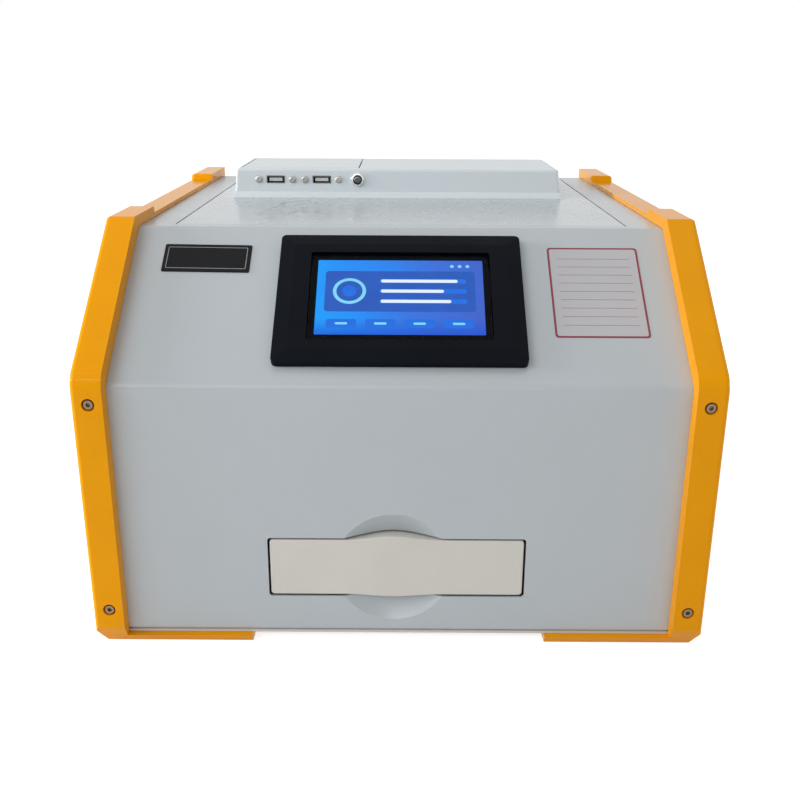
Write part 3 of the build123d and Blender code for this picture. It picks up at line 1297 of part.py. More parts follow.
def data_board():
    """Board that serves the sockets and the dock."""
    x, y = data_board_middle()
    top = DECK_Z - SHEET - BOARD_POST
    w, d = data_board_width() / 2, DATA_BOARD_DEPTH / 2
    return block(x - w, x + w, y - d, y + d, top - BOARD, top)


def fan_holes():
    """Middles of the fan's four screw holes, on the rear panel."""
    s = FAN_HOLE_SPREAD
    return [(FAN_X + x, FAN_HEIGHT + z) for x in (-s, s) for z in (-s, s)]


def fan_frame():
    """Fan frame with struts, motor seat and shaft."""
    frame = extrude(FAN_PLANE * RectangleRounded(FAN_SIZE, FAN_SIZE, 3), -FAN_DEPTH)
    outer = REAR_Y - SHEET
    frame -= rod(FAN_X, outer + 1, FAN_HEIGHT, FAN_BORE_RADIUS, FAN_DEPTH + 2, (0, -1, 0))
    for x, z in fan_holes():
        frame -= rod(x, outer + 1, z, SCREW_RADIUS + CHEEK_FIT, FAN_DEPTH + 2, (0, -1, 0))
    frame += rod(FAN_X, outer, FAN_HEIGHT, FAN_HUB_RADIUS, FAN_STRUT, (0, -1, 0))
    for turn in (45, 135):
        bar = Box(2 * FAN_BORE_RADIUS + 2, FAN_STRUT, 4)
        frame += Pos(FAN_X, outer - FAN_STRUT / 2, FAN_HEIGHT) * Rot(0, turn, 0) * bar
    return frame + rod(FAN_X, outer - FAN_STRUT, FAN_HEIGHT, FAN_SHAFT_RADIUS, 14, (0, -1, 0))


def fan_rotor():
    """Hub and blades that turn on the shaft."""
    start = REAR_Y - SHEET - FAN_STRUT - 0.6
    length = FAN_DEPTH - FAN_STRUT - 2
    rotor = rod(FAN_X, start, FAN_HEIGHT, FAN_HUB_RADIUS, length, (0, -1, 0))
    reach = FAN_BORE_RADIUS - 1 - FAN_HUB_RADIUS
    blade = Pos(FAN_HUB_RADIUS + reach / 2 - 1, 0, 0) * Rot(35, 0, 0) * Box(reach + 2, length, 1.4)
    for index in range(FAN_BLADES):
        turned = Rot(0, 360 / FAN_BLADES * index, 0) * blade
        rotor += Pos(FAN_X, start - length / 2, FAN_HEIGHT) * turned
    return rotor - rod(FAN_X, start + 1, FAN_HEIGHT, FAN_SHAFT_RADIUS + FAN_SHAFT_FIT, 15, (0, -1, 0))


def fan_guard():
    """Wire guard outside the rear panel."""
    wire = GUARD_WIRE
    y = REAR_Y + wire
    guard = rod(FAN_X, REAR_Y, FAN_HEIGHT, 6, wire, (0, 1, 0))
    for index in range(1, 5):
        radius = 7 + index * 7.5
        ring = Plane((FAN_X, y, FAN_HEIGHT), z_dir=(0, 1, 0)) * Torus(radius, wire)
        guard += ring
    for turn in (45, 135):
        bar = Box(4 * FAN_HOLE_SPREAD / 2 ** 0.5, wire, 2 * wire)
        guard += Pos(FAN_X, y - wire / 2, FAN_HEIGHT) * Rot(0, turn, 0) * bar
    for x, z in fan_holes():
        guard += rod(x, REAR_Y, z, 4, wire, (0, 1, 0))
    for x, z in fan_holes():
        guard -= rod(x, REAR_Y - 1, z, SCREW_RADIUS + CHEEK_FIT, 6, (0, 1, 0))
    return guard


def fan_screws():
    """Screws through the guard, the panel and the fan."""
    screws = []
    for x, z in fan_holes():
        head = REAR_Y + GUARD_WIRE
        screw = rod(x, head, z, SCREW_HEAD_RADIUS, 1.6, (0, 1, 0))
        length = FAN_DEPTH + SHEET + GUARD_WIRE + 2
        screws.append(screw + rod(x, head, z, SCREW_RADIUS, length, (0, -1, 0)))
    return group(screws)


def mains_inlet():
    """Inlet module: body, flange, socket, fuse bay and switch bay."""
    w, t = INLET_WIDTH / 2, INLET_TALL / 2
    rim = INLET_RIM
    out = REAR_Y + INLET_FLANGE
    body = block(INLET_X - w, INLET_X + w, REAR_Y - INLET_DEPTH, out, INLET_HEIGHT - t, INLET_HEIGHT + t)
    w_out, t_out = w + rim, t + rim
    body += block(INLET_X - w_out, INLET_X + w_out, REAR_Y, out, INLET_HEIGHT - t_out, INLET_HEIGHT + t_out)
    z = INLET_HEIGHT - 15
    body -= block(INLET_X - 12.1, INLET_X + 12.1, out - 17, out + 1, z - 8.2, z + 8.2)
    body -= block(INLET_X - 7.2, INLET_X + 7.2, out - 20, out + 1, INLET_HEIGHT - 2.7, INLET_HEIGHT + 4.7)
    wide, tall = ROCKER_WIDTH / 2 + 0.5, ROCKER_HALF + 1.1
    body -= block(INLET_X - wide, INLET_X + wide, out - 12, out + 1, ROCKER_Z - tall, ROCKER_Z + tall)
    pin = ROCKER_PIN + ROCKER_FIT
    return body - rod(INLET_X - w + 1, ROCKER_Y, ROCKER_Z, pin, INLET_WIDTH - 2, (1, 0, 0))


def inlet_pins():
    """Three contact pins in the inlet."""
    floor = REAR_Y + INLET_FLANGE - 17
    z = INLET_HEIGHT - 15
    spots = ((-7, -2), (0, 2), (7, -2))
    pins = []
    for x, up in spots:
        pins.append(block(INLET_X + x - 1, INLET_X + x + 1, floor, floor + 14, z + up - 2, z + up + 2))
    return group(pins)


def fuse_drawer():
    """Fuse drawer between the inlet and the switch."""
    out = REAR_Y + INLET_FLANGE
    return block(INLET_X - 7, INLET_X + 7, out - 20, out + 0.6, INLET_HEIGHT - 2.5, INLET_HEIGHT + 4.5)


def rocker():
    """Mains rocker, tilted to one side, on its two pins."""
    end = ROCKER_HALF
    points = [(3, -end), (1.6, 0), (3, end), (0.5, end), (-3.5, 3.5), (-3.5, -3.5), (0.5, -end)]
    body = side_prism(points, -ROCKER_WIDTH / 2, ROCKER_WIDTH / 2)
    body += rod(-INLET_WIDTH / 2 + 1.5, 0, 0, ROCKER_PIN, INLET_WIDTH - 3, (1, 0, 0))
    return Pos(INLET_X, ROCKER_Y, ROCKER_Z) * Rot(ROCKER_TILT, 0, 0) * body


os.makedirs("parts", exist_ok=True)
cheek = right_cheek()
NODES = {
    "base_pan": base_pan(),
    "body_shell": body_shell(),
    "finger_cup": finger_cup(),
    "top_cover": top_cover(),
    "rear_panel": rear_panel(),
    "right_cheek": cheek,
    "left_cheek": across(cheek),
    "foot_pads": foot_pads(),
    "cheek_screws": cheek_screws(),
    "cheek_nuts": cheek_nuts(),
    "hood": hood(),
    "dock_lid": dock_lid(),
    "hinge_pin": hinge_pin(),
    "data_ports": data_ports(),
    "port_tongues": port_tongues(),
    "port_screws": port_screws(),
    "button_bushing": button_bushing(),
    "button_nut": button_nut(),
    "button_cap": button_cap(),
    "drive_dock": drive_dock(),
    "dock_contacts": dock_contacts(),
    "data_board": data_board(),
    "touch_bezel": touch_bezel(),
    "touch_glass": touch_glass(),
    "touch_display": touch_display(),
    "touch_case": touch_case(),
    "touch_gasket": touch_gasket(),
    "touch_clamps": touch_clamps(),
    "drawer_front": drawer_front(),
    "drawer_tray": drawer_tray(),
    "drive_pad": drive_pad(),
    "drawer_screws": drawer_screws(),
    "chamber_liner": chamber_liner(),
    "degauss_coil": degauss_coil(),
    "liner_plates": liner_plates(),
    "board_shelf": board_shelf(),
    "board_posts": board_posts(),
    "control_board": control_board(),
    "board_parts": board_parts(),
    "lock_bracket": lock_bracket(),
    "lock_solenoid": lock_solenoid(),
    "lock_bolt": lock_bolt(),
    "drawer_sensor": drawer_sensor(),
    "storage_capacitors": storage_capacitors(),
    "capacitor_terminals": capacitor_terminals(),
    "capacitor_clamps": capacitor_clamps(),
    "bus_bars": bus_bars(),
    "heat_sink": heat_sink(),
    "thyristor_module": thyristor_module(),
    "transformer_core": transformer_core(),
    "transformer_winding": transformer_winding(),
    "bleed_resistor": bleed_resistor(),
    "fan_frame": fan_frame(),
    "fan_rotor": fan_rotor(),
    "fan_guard": fan_guard(),
    "fan_screws": fan_screws(),
    "mains_inlet": mains_inlet(),
    "inlet_pins": inlet_pins(),
    "fuse_drawer": fuse_drawer(),
    "rocker": rocker(),
}
for name, shape in NODES.items():
    export_step(shape, f"parts/{name}.step")
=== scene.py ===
import math

import bmesh
import bpy
from mathutils import Matrix, Vector


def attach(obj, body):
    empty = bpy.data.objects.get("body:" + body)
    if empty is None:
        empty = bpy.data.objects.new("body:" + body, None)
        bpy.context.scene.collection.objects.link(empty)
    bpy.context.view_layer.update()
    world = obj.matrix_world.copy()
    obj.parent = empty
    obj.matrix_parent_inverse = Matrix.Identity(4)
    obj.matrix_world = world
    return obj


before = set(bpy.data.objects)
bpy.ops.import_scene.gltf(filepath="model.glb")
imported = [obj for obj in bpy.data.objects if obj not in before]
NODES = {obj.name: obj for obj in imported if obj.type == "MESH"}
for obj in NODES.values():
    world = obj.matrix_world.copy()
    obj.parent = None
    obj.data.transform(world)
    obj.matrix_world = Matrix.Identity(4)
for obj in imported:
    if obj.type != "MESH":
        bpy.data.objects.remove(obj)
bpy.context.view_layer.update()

# Sloping panel, as in the solids, in metres
KNEE_HEIGHT = 0.164
SLOPE_RISE = 0.072
SLOPE_RUN = 0.094
RECESS = 0.009
SLOPE_RECESS = 0.0105
SLOPE_ANGLE = math.atan2(SLOPE_RISE, SLOPE_RUN)
SLOPE_Y = -0.191
SLOPE_Z = KNEE_HEIGHT + RECESS * math.tan(SLOPE_ANGLE) - SLOPE_RECESS / math.cos(SLOPE_ANGLE)
TOUCH_UP_SLOPE = 0.0594
DISPLAY_TOP = 0.0044

# Thin pieces: thickness of a mark, step between marks that overlap, softened top edge
INK = 0.00004
LAYER = 0.00005
SOFT_SHARE = 0.4
SOFT_LIMIT = 0.0003

# Lit screen
FIELD_WIDTH = 0.0956
FIELD_HEIGHT = 0.0547
FIELD_CORNER = 0.0006
PANEL_WIDTH = 0.086
PANEL_HEIGHT = 0.030
PANEL_CORNER = 0.002
DIAL_X = -0.029
DIAL_Y = 0.004
DIAL_RADIUS = 0.0095
DIAL_LINE = 0.002
DIAL_CORE = 0.0041
LEVEL_X = 0.013
LEVEL_Y = 0.0115
LEVEL_PITCH = 0.0075
LEVEL_ROOM = 0.048
LEVEL_LENGTHS = (0.044, 0.036, 0.040)
LEVEL_HEIGHT = 0.0022
LEVEL_CORNER = 0.001
LEVEL_BACK_WIDTH = 0.050
LEVEL_BACK_HEIGHT = 0.0034
LEVEL_BACK_CORNER = 0.0015
KEY_COUNT = 4
KEY_PITCH = 0.022
KEY_Y = -0.0195
KEY_WIDTH = 0.017
KEY_HEIGHT = 0.0062
KEY_CORNER = 0.0014
KEY_MARK_WIDTH = 0.007
KEY_MARK_HEIGHT = 0.0016
KEY_MARK_CORNER = 0.0007
DOT_COUNT = 3
DOT_X = 0.030
DOT_Y = 0.0229
DOT_PITCH = 0.0045
DOT_SIZE = 0.0022
DOT_CORNER = 0.0010

# Blank plate and ruled card on the sloping panel
PLATE_X = -0.1144
PLATE_UP = 0.0914
PLATE_WIDTH = 0.0517
PLATE_HEIGHT = 0.0211
PLATE_THICKNESS = 0.0008
PLATE_CORNER = 0.0008
PLATE_TURN = math.radians(-0.8)
PLATE_MARGIN = 0.0022
PLATE_LINE = 0.0004
PLATE_LINE_CORNER = 0.0008
PLATE_LINE_INNER_CORNER = 0.0005
CARD_X = 0.1138
CARD_UP = 0.0676
CARD_WIDTH = 0.0535
CARD_HEIGHT = 0.0673
CARD_THICKNESS = 0.00015
CARD_CORNER = 0.002
CARD_BORDER = 0.0012
CARD_INNER_CORNER = 0.0014
RULE_COUNT = 9
RULE_WIDTH = 0.043
RULE_LINE = 0.00035
RULE_CORNER = 0.00015
RULE_PITCH = 0.0062

# Film on the deck: where its creases begin and end, over which lengths, how strong the painted shade along
# them is and how deep their bump is
FILM_FRONT = -0.085
FILM_FRONT_FADE = 0.05
FILM_BACK = 0.043
FILM_BACK_FADE = 0.01
FILM_SHADE_STRENGTH = 0.75
FILM_DEPTH = 0.00004

# Noise of a surface's cloudy colour and of its smudged gloss: scale, detail, roughness
CLOUD = (22, 5, 0.6)
SMUDGE = (55, 6, 0.65)
# Bevel radius of the edges that take a painted highlight
HIGHLIGHT_EDGE_RADIUS = 0.0008

# Camera of the photograph, in metres, radians, pixels and millimetres
CAMERA_PLACE = (0.00154, -0.68757, 0.32046)
CAMERA_YAW = -0.0025
CAMERA_PITCH = 0.33008
CAMERA_ROLL = 0.00465
FOCAL_PIXELS = 968.87
PHOTO_PIXELS = 800
SENSOR_WIDTH = 36
NEAREST_VIEW = 0.01

# Floor and surroundings
FLOOR_HALF_WIDTH = 6
FLOOR_GRID = 8
FLOOR_DROP = 0.0002
FLOOR_GLOW = 0.72
WORLD_LIGHT = 0.42


def srgb(red, green, blue):
    """Linear colour of an 8-bit sRGB one."""
    out = []
    for value in (red, green, blue):
        c = value / 255
        out.append(c / 12.92 if c <= 0.04045 else ((c + 0.055) / 1.055) ** 2.4)
    return (*out, 1.0)


def tint(colour, factor):
    """Colour made lighter or darker."""
    return (*(min(1.0, c * factor) for c in colour[:3]), 1.0)


GREY = srgb(183, 190, 194)
HOOD_GREY = srgb(217, 225, 229)
ORANGE = srgb(240, 160, 4)
# Painted shade along the film's creases
CREASE_SHADE_GREY = srgb(124, 129, 132)


def slope_matrix(x, up, height, turn=0.0):
    """Frame on the sloping panel: local X right, Y up the slope, Z out of it."""
    c, s = math.cos(SLOPE_ANGLE), math.sin(SLOPE_ANGLE)
    origin = Vector((x, SLOPE_Y + up * c - height * s, SLOPE_Z + up * s + height * c))
    basis = Matrix(((1, 0, 0), (0, c, -s), (0, s, c))).to_4x4()
    return Matrix.Translation(origin) @ basis @ Matrix.Rotation(turn, 4, "Z")


class Tree:
    """Adds and links the nodes of one shader tree."""

    def __init__(self, tree):
        self.tree = tree
        self.tree.nodes.clear()

    def add(self, kind, **values):
        node = self.tree.nodes.new(kind)
        for key, value in values.items():
            if hasattr(node, key):
                setattr(node, key, value)
            else:
                node.inputs[key.replace("_", " ")].default_value = value
        return node

    def link(self, source, target):
        self.tree.links.new(source, target)

    def math(self, operation, first, second):
        node = self.add("ShaderNodeMath", operation=operation)
        for index, value in enumerate((first, second)):
            if isinstance(value, (int, float)):
                node.inputs[index].default_value = value
            else:
                self.link(value, node.inputs[index])
        return node.outputs[0]

    def shows_backdrop(self):
        """1 for the rays that show the backdrop itself: camera, mirror and glass rays."""
        path = self.add("ShaderNodeLightPath")
        seen = self.math("MAXIMUM", path.outputs["Is Camera Ray"], path.outputs["Is Glossy Ray"])
        return self.math("MAXIMUM", seen, path.outputs["Is Transmission Ray"])


class Surface(Tree):
    """A material with one principled shader and the textures that feed it."""

    def __init__(self, name):
        self.mat = bpy.data.materials.new(name)
        self.mat.use_nodes = True
        super().__init__(self.mat.node_tree)
        self.out = self.add("ShaderNodeOutputMaterial")
        self.shader = self.add("ShaderNodeBsdfPrincipled")
        self.link(self.shader.outputs[0], self.out.inputs["Surface"])
        self.coords = self.add("ShaderNodeTexCoord").outputs["Object"]

    def set(self, **values):
        for key, value in values.items():
            self.shader.inputs[key.replace("_", " ")].default_value = value

    def feed(self, source, socket):
        self.link(source, self.shader.inputs[socket])

    def noise(self, scale, detail=4.0, roughness=0.5, stretch=None):
        node = self.add("ShaderNodeTexNoise", Scale=scale, Detail=detail, Roughness=roughness)
        if stretch is None:
            self.link(self.coords, node.inputs["Vector"])
        else:
            mapping = self.add("ShaderNodeMapping", Scale=stretch)
            self.link(self.coords, mapping.inputs["Vector"])
            self.link(mapping.outputs[0], node.inputs["Vector"])
        return node.outputs["Fac"]

    def place(self, axis):
        node = self.add("ShaderNodeSeparateXYZ")
        self.link(self.coords, node.inputs[0])
        return node.outputs[axis]

    def ramp(self, source, stops):
        node = self.add("ShaderNodeValToRGB")
        while len(node.color_ramp.elements) < len(stops):
            node.color_ramp.elements.new(0.5)
        for element, (place, colour) in zip(node.color_ramp.elements, stops):
            element.position = place
            element.color = colour
        self.link(source, node.inputs["Fac"])
        return node.outputs["Color"]

    def remap(self, source, low, high, out_low, out_high):
        node = self.add("ShaderNodeMapRange")
        for index, value in enumerate((low, high, out_low, out_high)):
            node.inputs[index + 1].default_value = value
        self.link(source, node.inputs[0])
        return node.outputs[0]

    def mix(self, factor, first, second):
        node = self.add("ShaderNodeMix", data_type="RGBA")
        for index, value in ((0, factor), (6, first), (7, second)):
            if isinstance(value, (int, float, tuple)):
                node.inputs[index].default_value = value
            else:
                self.link(value, node.inputs[index])
        return node.outputs[2]

    def edges(self, radius):
        """Mask of the edges: 0 on flats, up to 1 at an edge."""
        bevel = self.add("ShaderNodeBevel", samples=4, Radius=radius)
        geometry = self.add("ShaderNodeNewGeometry")
        dot = self.add("ShaderNodeVectorMath", operation="DOT_PRODUCT")
        self.link(bevel.outputs[0], dot.inputs[0])
        self.link(geometry.outputs["Normal"], dot.inputs[1])
        return self.remap(dot.outputs["Value"], 1.0, 0.75, 0.0, 1.0)

    def bump(self, height, distance, strength=1.0):
        node = self.add("ShaderNodeBump", Distance=distance, Strength=strength)
        self.link(height, node.inputs["Height"])
        self.feed(node.outputs[0], "Normal")


def surface(name, colour, roughness, metallic=0.0, grain=900, depth=0.00002, vary=0.06, smudge=0.08,
            edge_highlight=None, coat=None, specular=0.5, stretch=None):
    """Paint, plastic or metal: cloudy colour, fine grain and smudged gloss; a painted highlight on edges, in
    patches, and a coat are optional.
    """
    s = Surface(name)
    cloud = s.noise(*CLOUD, stretch)
    base = s.ramp(cloud, [(0.3, tint(colour, 1 - vary)), (0.7, tint(colour, 1 + vary))])
    # Edges lightened in patches: a painted highlight
    if edge_highlight:
        highlit_edges = s.math("MULTIPLY", s.edges(HIGHLIGHT_EDGE_RADIUS), s.remap(s.noise(160, 6, 0.7), 0.45, 0.75, 0.0, 1.0))
        base = s.mix(highlit_edges, base, edge_highlight)
    s.feed(base, "Base Color")
    gloss = s.remap(s.noise(*SMUDGE, stretch), 0.3, 0.7, roughness - smudge, roughness + smudge)
    s.feed(gloss, "Roughness")
    s.set(Metallic=metallic, Specular_IOR_Level=specular)
    if coat:
        weight, ior, coat_roughness = coat
        s.set(Coat_Weight=weight, Coat_IOR=ior, Coat_Roughness=coat_roughness)
    s.bump(s.noise(grain, 3, 0.5, stretch), depth)
    return s.mat


def deck_paint():
    """Grey paint under a clear film, with painted shade and a bump along small creases in front of the hood.
    """
    s = Surface("deck_paint")
    film = s.noise(60, 1.5, 0.5, (1, 0.4, 1))
    crease = s.ramp(film, [(0.48, (0, 0, 0, 1)), (0.5, (1, 1, 1, 1)), (0.52, (0, 0, 0, 1))])
    y = s.place("Y")
    behind = s.remap(y, FILM_FRONT, FILM_FRONT + FILM_FRONT_FADE, 0.0, 1.0)
    ahead = s.remap(y, FILM_BACK, FILM_BACK + FILM_BACK_FADE, 1.0, 0.0)
    patch = s.remap(s.noise(18, 1, 0.5), 0.5, 0.6, 0.0, 1.0)
    mask = s.math("MULTIPLY", s.math("MULTIPLY", behind, ahead), s.math("MULTIPLY", crease, patch))
    cloud = s.ramp(s.noise(*CLOUD), [(0.3, GREY), (0.7, tint(GREY, 1.05))])
    # Creases darkened: painted shade
    s.feed(s.mix(s.math("MULTIPLY", mask, FILM_SHADE_STRENGTH), cloud, CREASE_SHADE_GREY), "Base Color")
    s.feed(s.remap(s.noise(*SMUDGE), 0.3, 0.7, 0.26, 0.3), "Roughness")
    s.set(Specular_IOR_Level=0.4, Coat_Weight=0.2, Coat_Roughness=0.12)
    s.bump(mask, FILM_DEPTH, 0.5)
    return s.mat


def touch_film():
    """Clear touch film: mostly see-through, with a soft gloss."""
    s = Surface("touch_glass")
    clear = s.add("ShaderNodeBsdfTransparent")
    s.set(Base_Color=(0.01, 0.012, 0.016, 1))
    s.feed(s.remap(s.noise(300, 4), 0.3, 0.7, 0.12, 0.2), "Roughness")
    fresnel = s.add("ShaderNodeFresnel", IOR=1.1)
    mix = s.add("ShaderNodeMixShader")
    s.link(fresnel.outputs[0], mix.inputs[0])
    s.link(clear.outputs[0], mix.inputs[1])
    s.link(s.shader.outputs[0], mix.inputs[2])
    s.link(mix.outputs[0], s.out.inputs["Surface"])
    return s.mat


def glow(name, colour, vary):
    """Lit part of the display."""
    s = Surface(name)
    s.set(Base_Color=(0.004, 0.005, 0.008, 1), Roughness=0.6, Specular_IOR_Level=0.1, Emission_Strength=1.0)
    shade = s.ramp(s.noise(60, 3), [(0.3, tint(colour, 1 - vary)), (0.7, tint(colour, 1 + vary))])
    s.feed(shade, "Emission Color")
    return s.mat


def lit_field():
    """Backlit field: azure at the left, periwinkle at the right, deep blue along its lower edge."""
    s = Surface("display_field")
    across = s.remap(s.place("X"), -FIELD_WIDTH / 2, FIELD_WIDTH / 2, 0.0, 1.0)
    swirl = s.math("ADD", across, s.remap(s.noise(26, 3), 0.3, 0.7, -0.1, 0.1))
    colour = s.ramp(swirl, [
        (0.0, srgb(26, 156, 252)),
        (0.35, srgb(40, 134, 240)),
        (0.7, srgb(58, 112, 218)),
        (1.0, srgb(64, 100, 202)),
    ])
    low = s.remap(s.place("Y"), -FIELD_HEIGHT / 2, -FIELD_HEIGHT * 0.3, 0.75, 0.0)
    s.set(Base_Color=(0.004, 0.005, 0.01, 1), Roughness=0.5, Specular_IOR_Level=0.1, Emission_Strength=1.0)
    s.feed(s.mix(low, colour, srgb(14, 78, 210)), "Emission Color")
    return s.mat


# Each material and the CAD nodes that have it
NODE_MATERIALS = {
    surface("grey_paint", GREY, 0.28, grain=900, depth=0.000015, vary=0.012, smudge=0.006):
        "body_shell finger_cup rear_panel",
    surface("hood_paint", HOOD_GREY, 0.32, grain=900, depth=0.000015, vary=0.012, smudge=0.01, specular=0.25):
        "hood dock_lid",
    surface("pan_paint", srgb(206, 202, 195), 0.42, grain=700, vary=0.03):
        "base_pan",
    deck_paint():
        "top_cover",
    # Orange edges lightened in patches: a painted highlight
    surface("orange_shell", ORANGE, 0.4, grain=500, depth=0.00002, vary=0.03, smudge=0.04,
            edge_highlight=tint(ORANGE, 1.1), specular=0.0, coat=(0.8, 1.18, 0.14)):
        "right_cheek left_cheek",
    surface("drawer_plastic", srgb(212, 209, 202), 0.42, grain=1500, vary=0.03, specular=0.35):
        "drawer_front",
    surface("bezel_plastic", srgb(11, 15, 22), 0.5, grain=2600, depth=0.00003, vary=0.15, specular=0.05):
        "touch_bezel",
    surface("display_black", srgb(9, 12, 18), 0.4, grain=900, depth=0.00001, vary=0.1, specular=0.04):
        "touch_display",
    touch_film():
        "touch_glass",
    surface("black_plastic", srgb(28, 28, 30), 0.45, grain=2200, depth=0.00003, vary=0.12, specular=0.3):
        "drive_dock touch_case drawer_sensor thyristor_module fan_frame fan_rotor mains_inlet fuse_drawer",
    surface("pale_plastic", srgb(206, 208, 206), 0.45, grain=1800, vary=0.04):
        "port_tongues",
    surface("tray_plastic", srgb(62, 63, 66), 0.5, grain=1800, depth=0.00004, vary=0.08):
        "drawer_tray",
    surface("pad_rubber", srgb(30, 30, 31), 0.8, grain=1400, depth=0.00006, vary=0.15):
        "foot_pads touch_gasket drive_pad",
    surface("screw_steel", srgb(176, 174, 170), 0.3, 1.0, grain=1600, vary=0.1):
        "cheek_nuts hinge_pin port_screws button_nut touch_clamps drawer_screws lock_bolt "
        "fan_screws fan_guard",
    # Darker brown steel: painted shade of the screw heads sunk in their counterbores
    surface("shaded_screw_steel", srgb(128, 112, 98), 0.36, 1.0, grain=1600, vary=0.15):
        "cheek_screws",
    surface("chrome", srgb(225, 225, 226), 0.1, 1.0, grain=900, depth=0.000005, vary=0.03, smudge=0.04):
        "button_bushing",
    # Dark cap: painted dark reflection of a chrome dome
    surface("dark_chrome", srgb(96, 97, 100), 0.14, 1.0, grain=900, depth=0.000005, vary=0.06, smudge=0.05):
        "button_cap",
    surface("socket_steel", srgb(112, 111, 109), 0.3, 1.0, grain=1200, vary=0.08):
        "data_ports",
    surface("bracket_steel", srgb(170, 172, 172), 0.38, 1.0, grain=600, vary=0.1, stretch=(1, 1, 12)):
        "lock_bracket lock_solenoid capacitor_clamps",
    surface("contact_metal", srgb(214, 178, 92), 0.3, 1.0, grain=900, vary=0.08):
        "dock_contacts board_posts capacitor_terminals inlet_pins",
    surface("copper", srgb(196, 116, 68), 0.35, 1.0, grain=900, vary=0.12, stretch=(1, 30, 1)):
        "degauss_coil bus_bars transformer_winding",
    surface("insulator", srgb(150, 104, 62), 0.5, grain=500, depth=0.00005, vary=0.14, stretch=(1, 8, 1)):
        "chamber_liner liner_plates board_shelf",
    surface("circuit_board", srgb(26, 92, 56), 0.4, grain=1500, vary=0.12):
        "control_board data_board",
    surface("board_parts", srgb(40, 58, 116), 0.45, grain=1500, vary=0.12):
        "board_parts",
    surface("capacitor_can", srgb(196, 199, 203), 0.35, 1.0, grain=700, vary=0.06):
        "storage_capacitors",
    surface("heat_sink", srgb(150, 152, 156), 0.45, 1.0, grain=800, vary=0.08, stretch=(1, 14, 1)):
        "heat_sink",
    surface("core_steel", srgb(92, 88, 84), 0.5, 0.8, grain=500, depth=0.0001, vary=0.15, stretch=(1, 40, 1)):
        "transformer_core",
    surface("resistor_shell", srgb(196, 158, 84), 0.4, 1.0, grain=800, vary=0.08):
        "bleed_resistor",
    surface("rocker_plastic", srgb(150, 24, 20), 0.28, grain=1200, vary=0.06):
        "rocker",
}


def dress():
    """Gives every CAD node its material."""
    for mat, names in NODE_MATERIALS.items():
        for name in names.split():
            data = NODES[name].data
            data.materials.clear()
            data.materials.append(mat)


def rounded(width, height, corner, steps=6):
    """Points of a rounded rectangle round the origin."""
    points = []
    for index in range(4):
        cx = (width / 2 - corner) * (1 if index in (0, 3) else -1)
        cy = (height / 2 - corner) * (1 if index in (0, 1) else -1)
        for step in range(steps + 1):
            angle = math.pi / 2 * (index + step / steps)
            points.append((cx + corner * math.cos(angle), cy + corner * math.sin(angle)))
    return points


def circle(radius, count=48):
    """Points of a circle round the origin."""
    turns = [2 * math.pi * index / count for index in range(count)]
    return [(radius * math.cos(turn), radius * math.sin(turn)) for turn in turns]


def plate(name, outline, thickness, matrix, mat, hole=None):
    """Thin plate or frame with a softened top edge, set on a surface of the chassis."""
    bm = bmesh.new()
    soft = min(thickness * SOFT_SHARE, SOFT_LIMIT)

    def ring(points, z, inset):
        verts = []
        for x, y in points:
            length = math.hypot(x, y)
            verts.append(bm.verts.new((x - x / length * inset, y - y / length * inset, z)))
        return verts

    def bridge(lower, upper):
        count = len(lower)
        for i in range(count):
            bm.faces.new((lower[i], lower[(i + 1) % count], upper[(i + 1) % count], upper[i]))

    low, mid, top = ring(outline, 0, 0), ring(outline, thickness - soft, 0), ring(outline, thickness, soft)
    bridge(low, mid)
    bridge(mid, top)
    if hole is None:
        bm.faces.new(top)
        bm.faces.new(list(reversed(low)))
    else:
        hole_low, hole_top = ring(hole, 0, 0), ring(hole, thickness, 0)
        bridge(hole_top, hole_low)
        bridge(top, hole_top)
        bridge(hole_low, low)
    bmesh.ops.recalc_face_normals(bm, faces=bm.faces)
    mesh = bpy.data.meshes.new(name)
    bm.to_mesh(mesh)
    bm.free()
    obj = bpy.data.objects.new(name, mesh)
    bpy.context.scene.collection.objects.link(obj)
    obj.matrix_world = matrix
    mesh.materials.append(mat)
    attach(obj, "chassis")


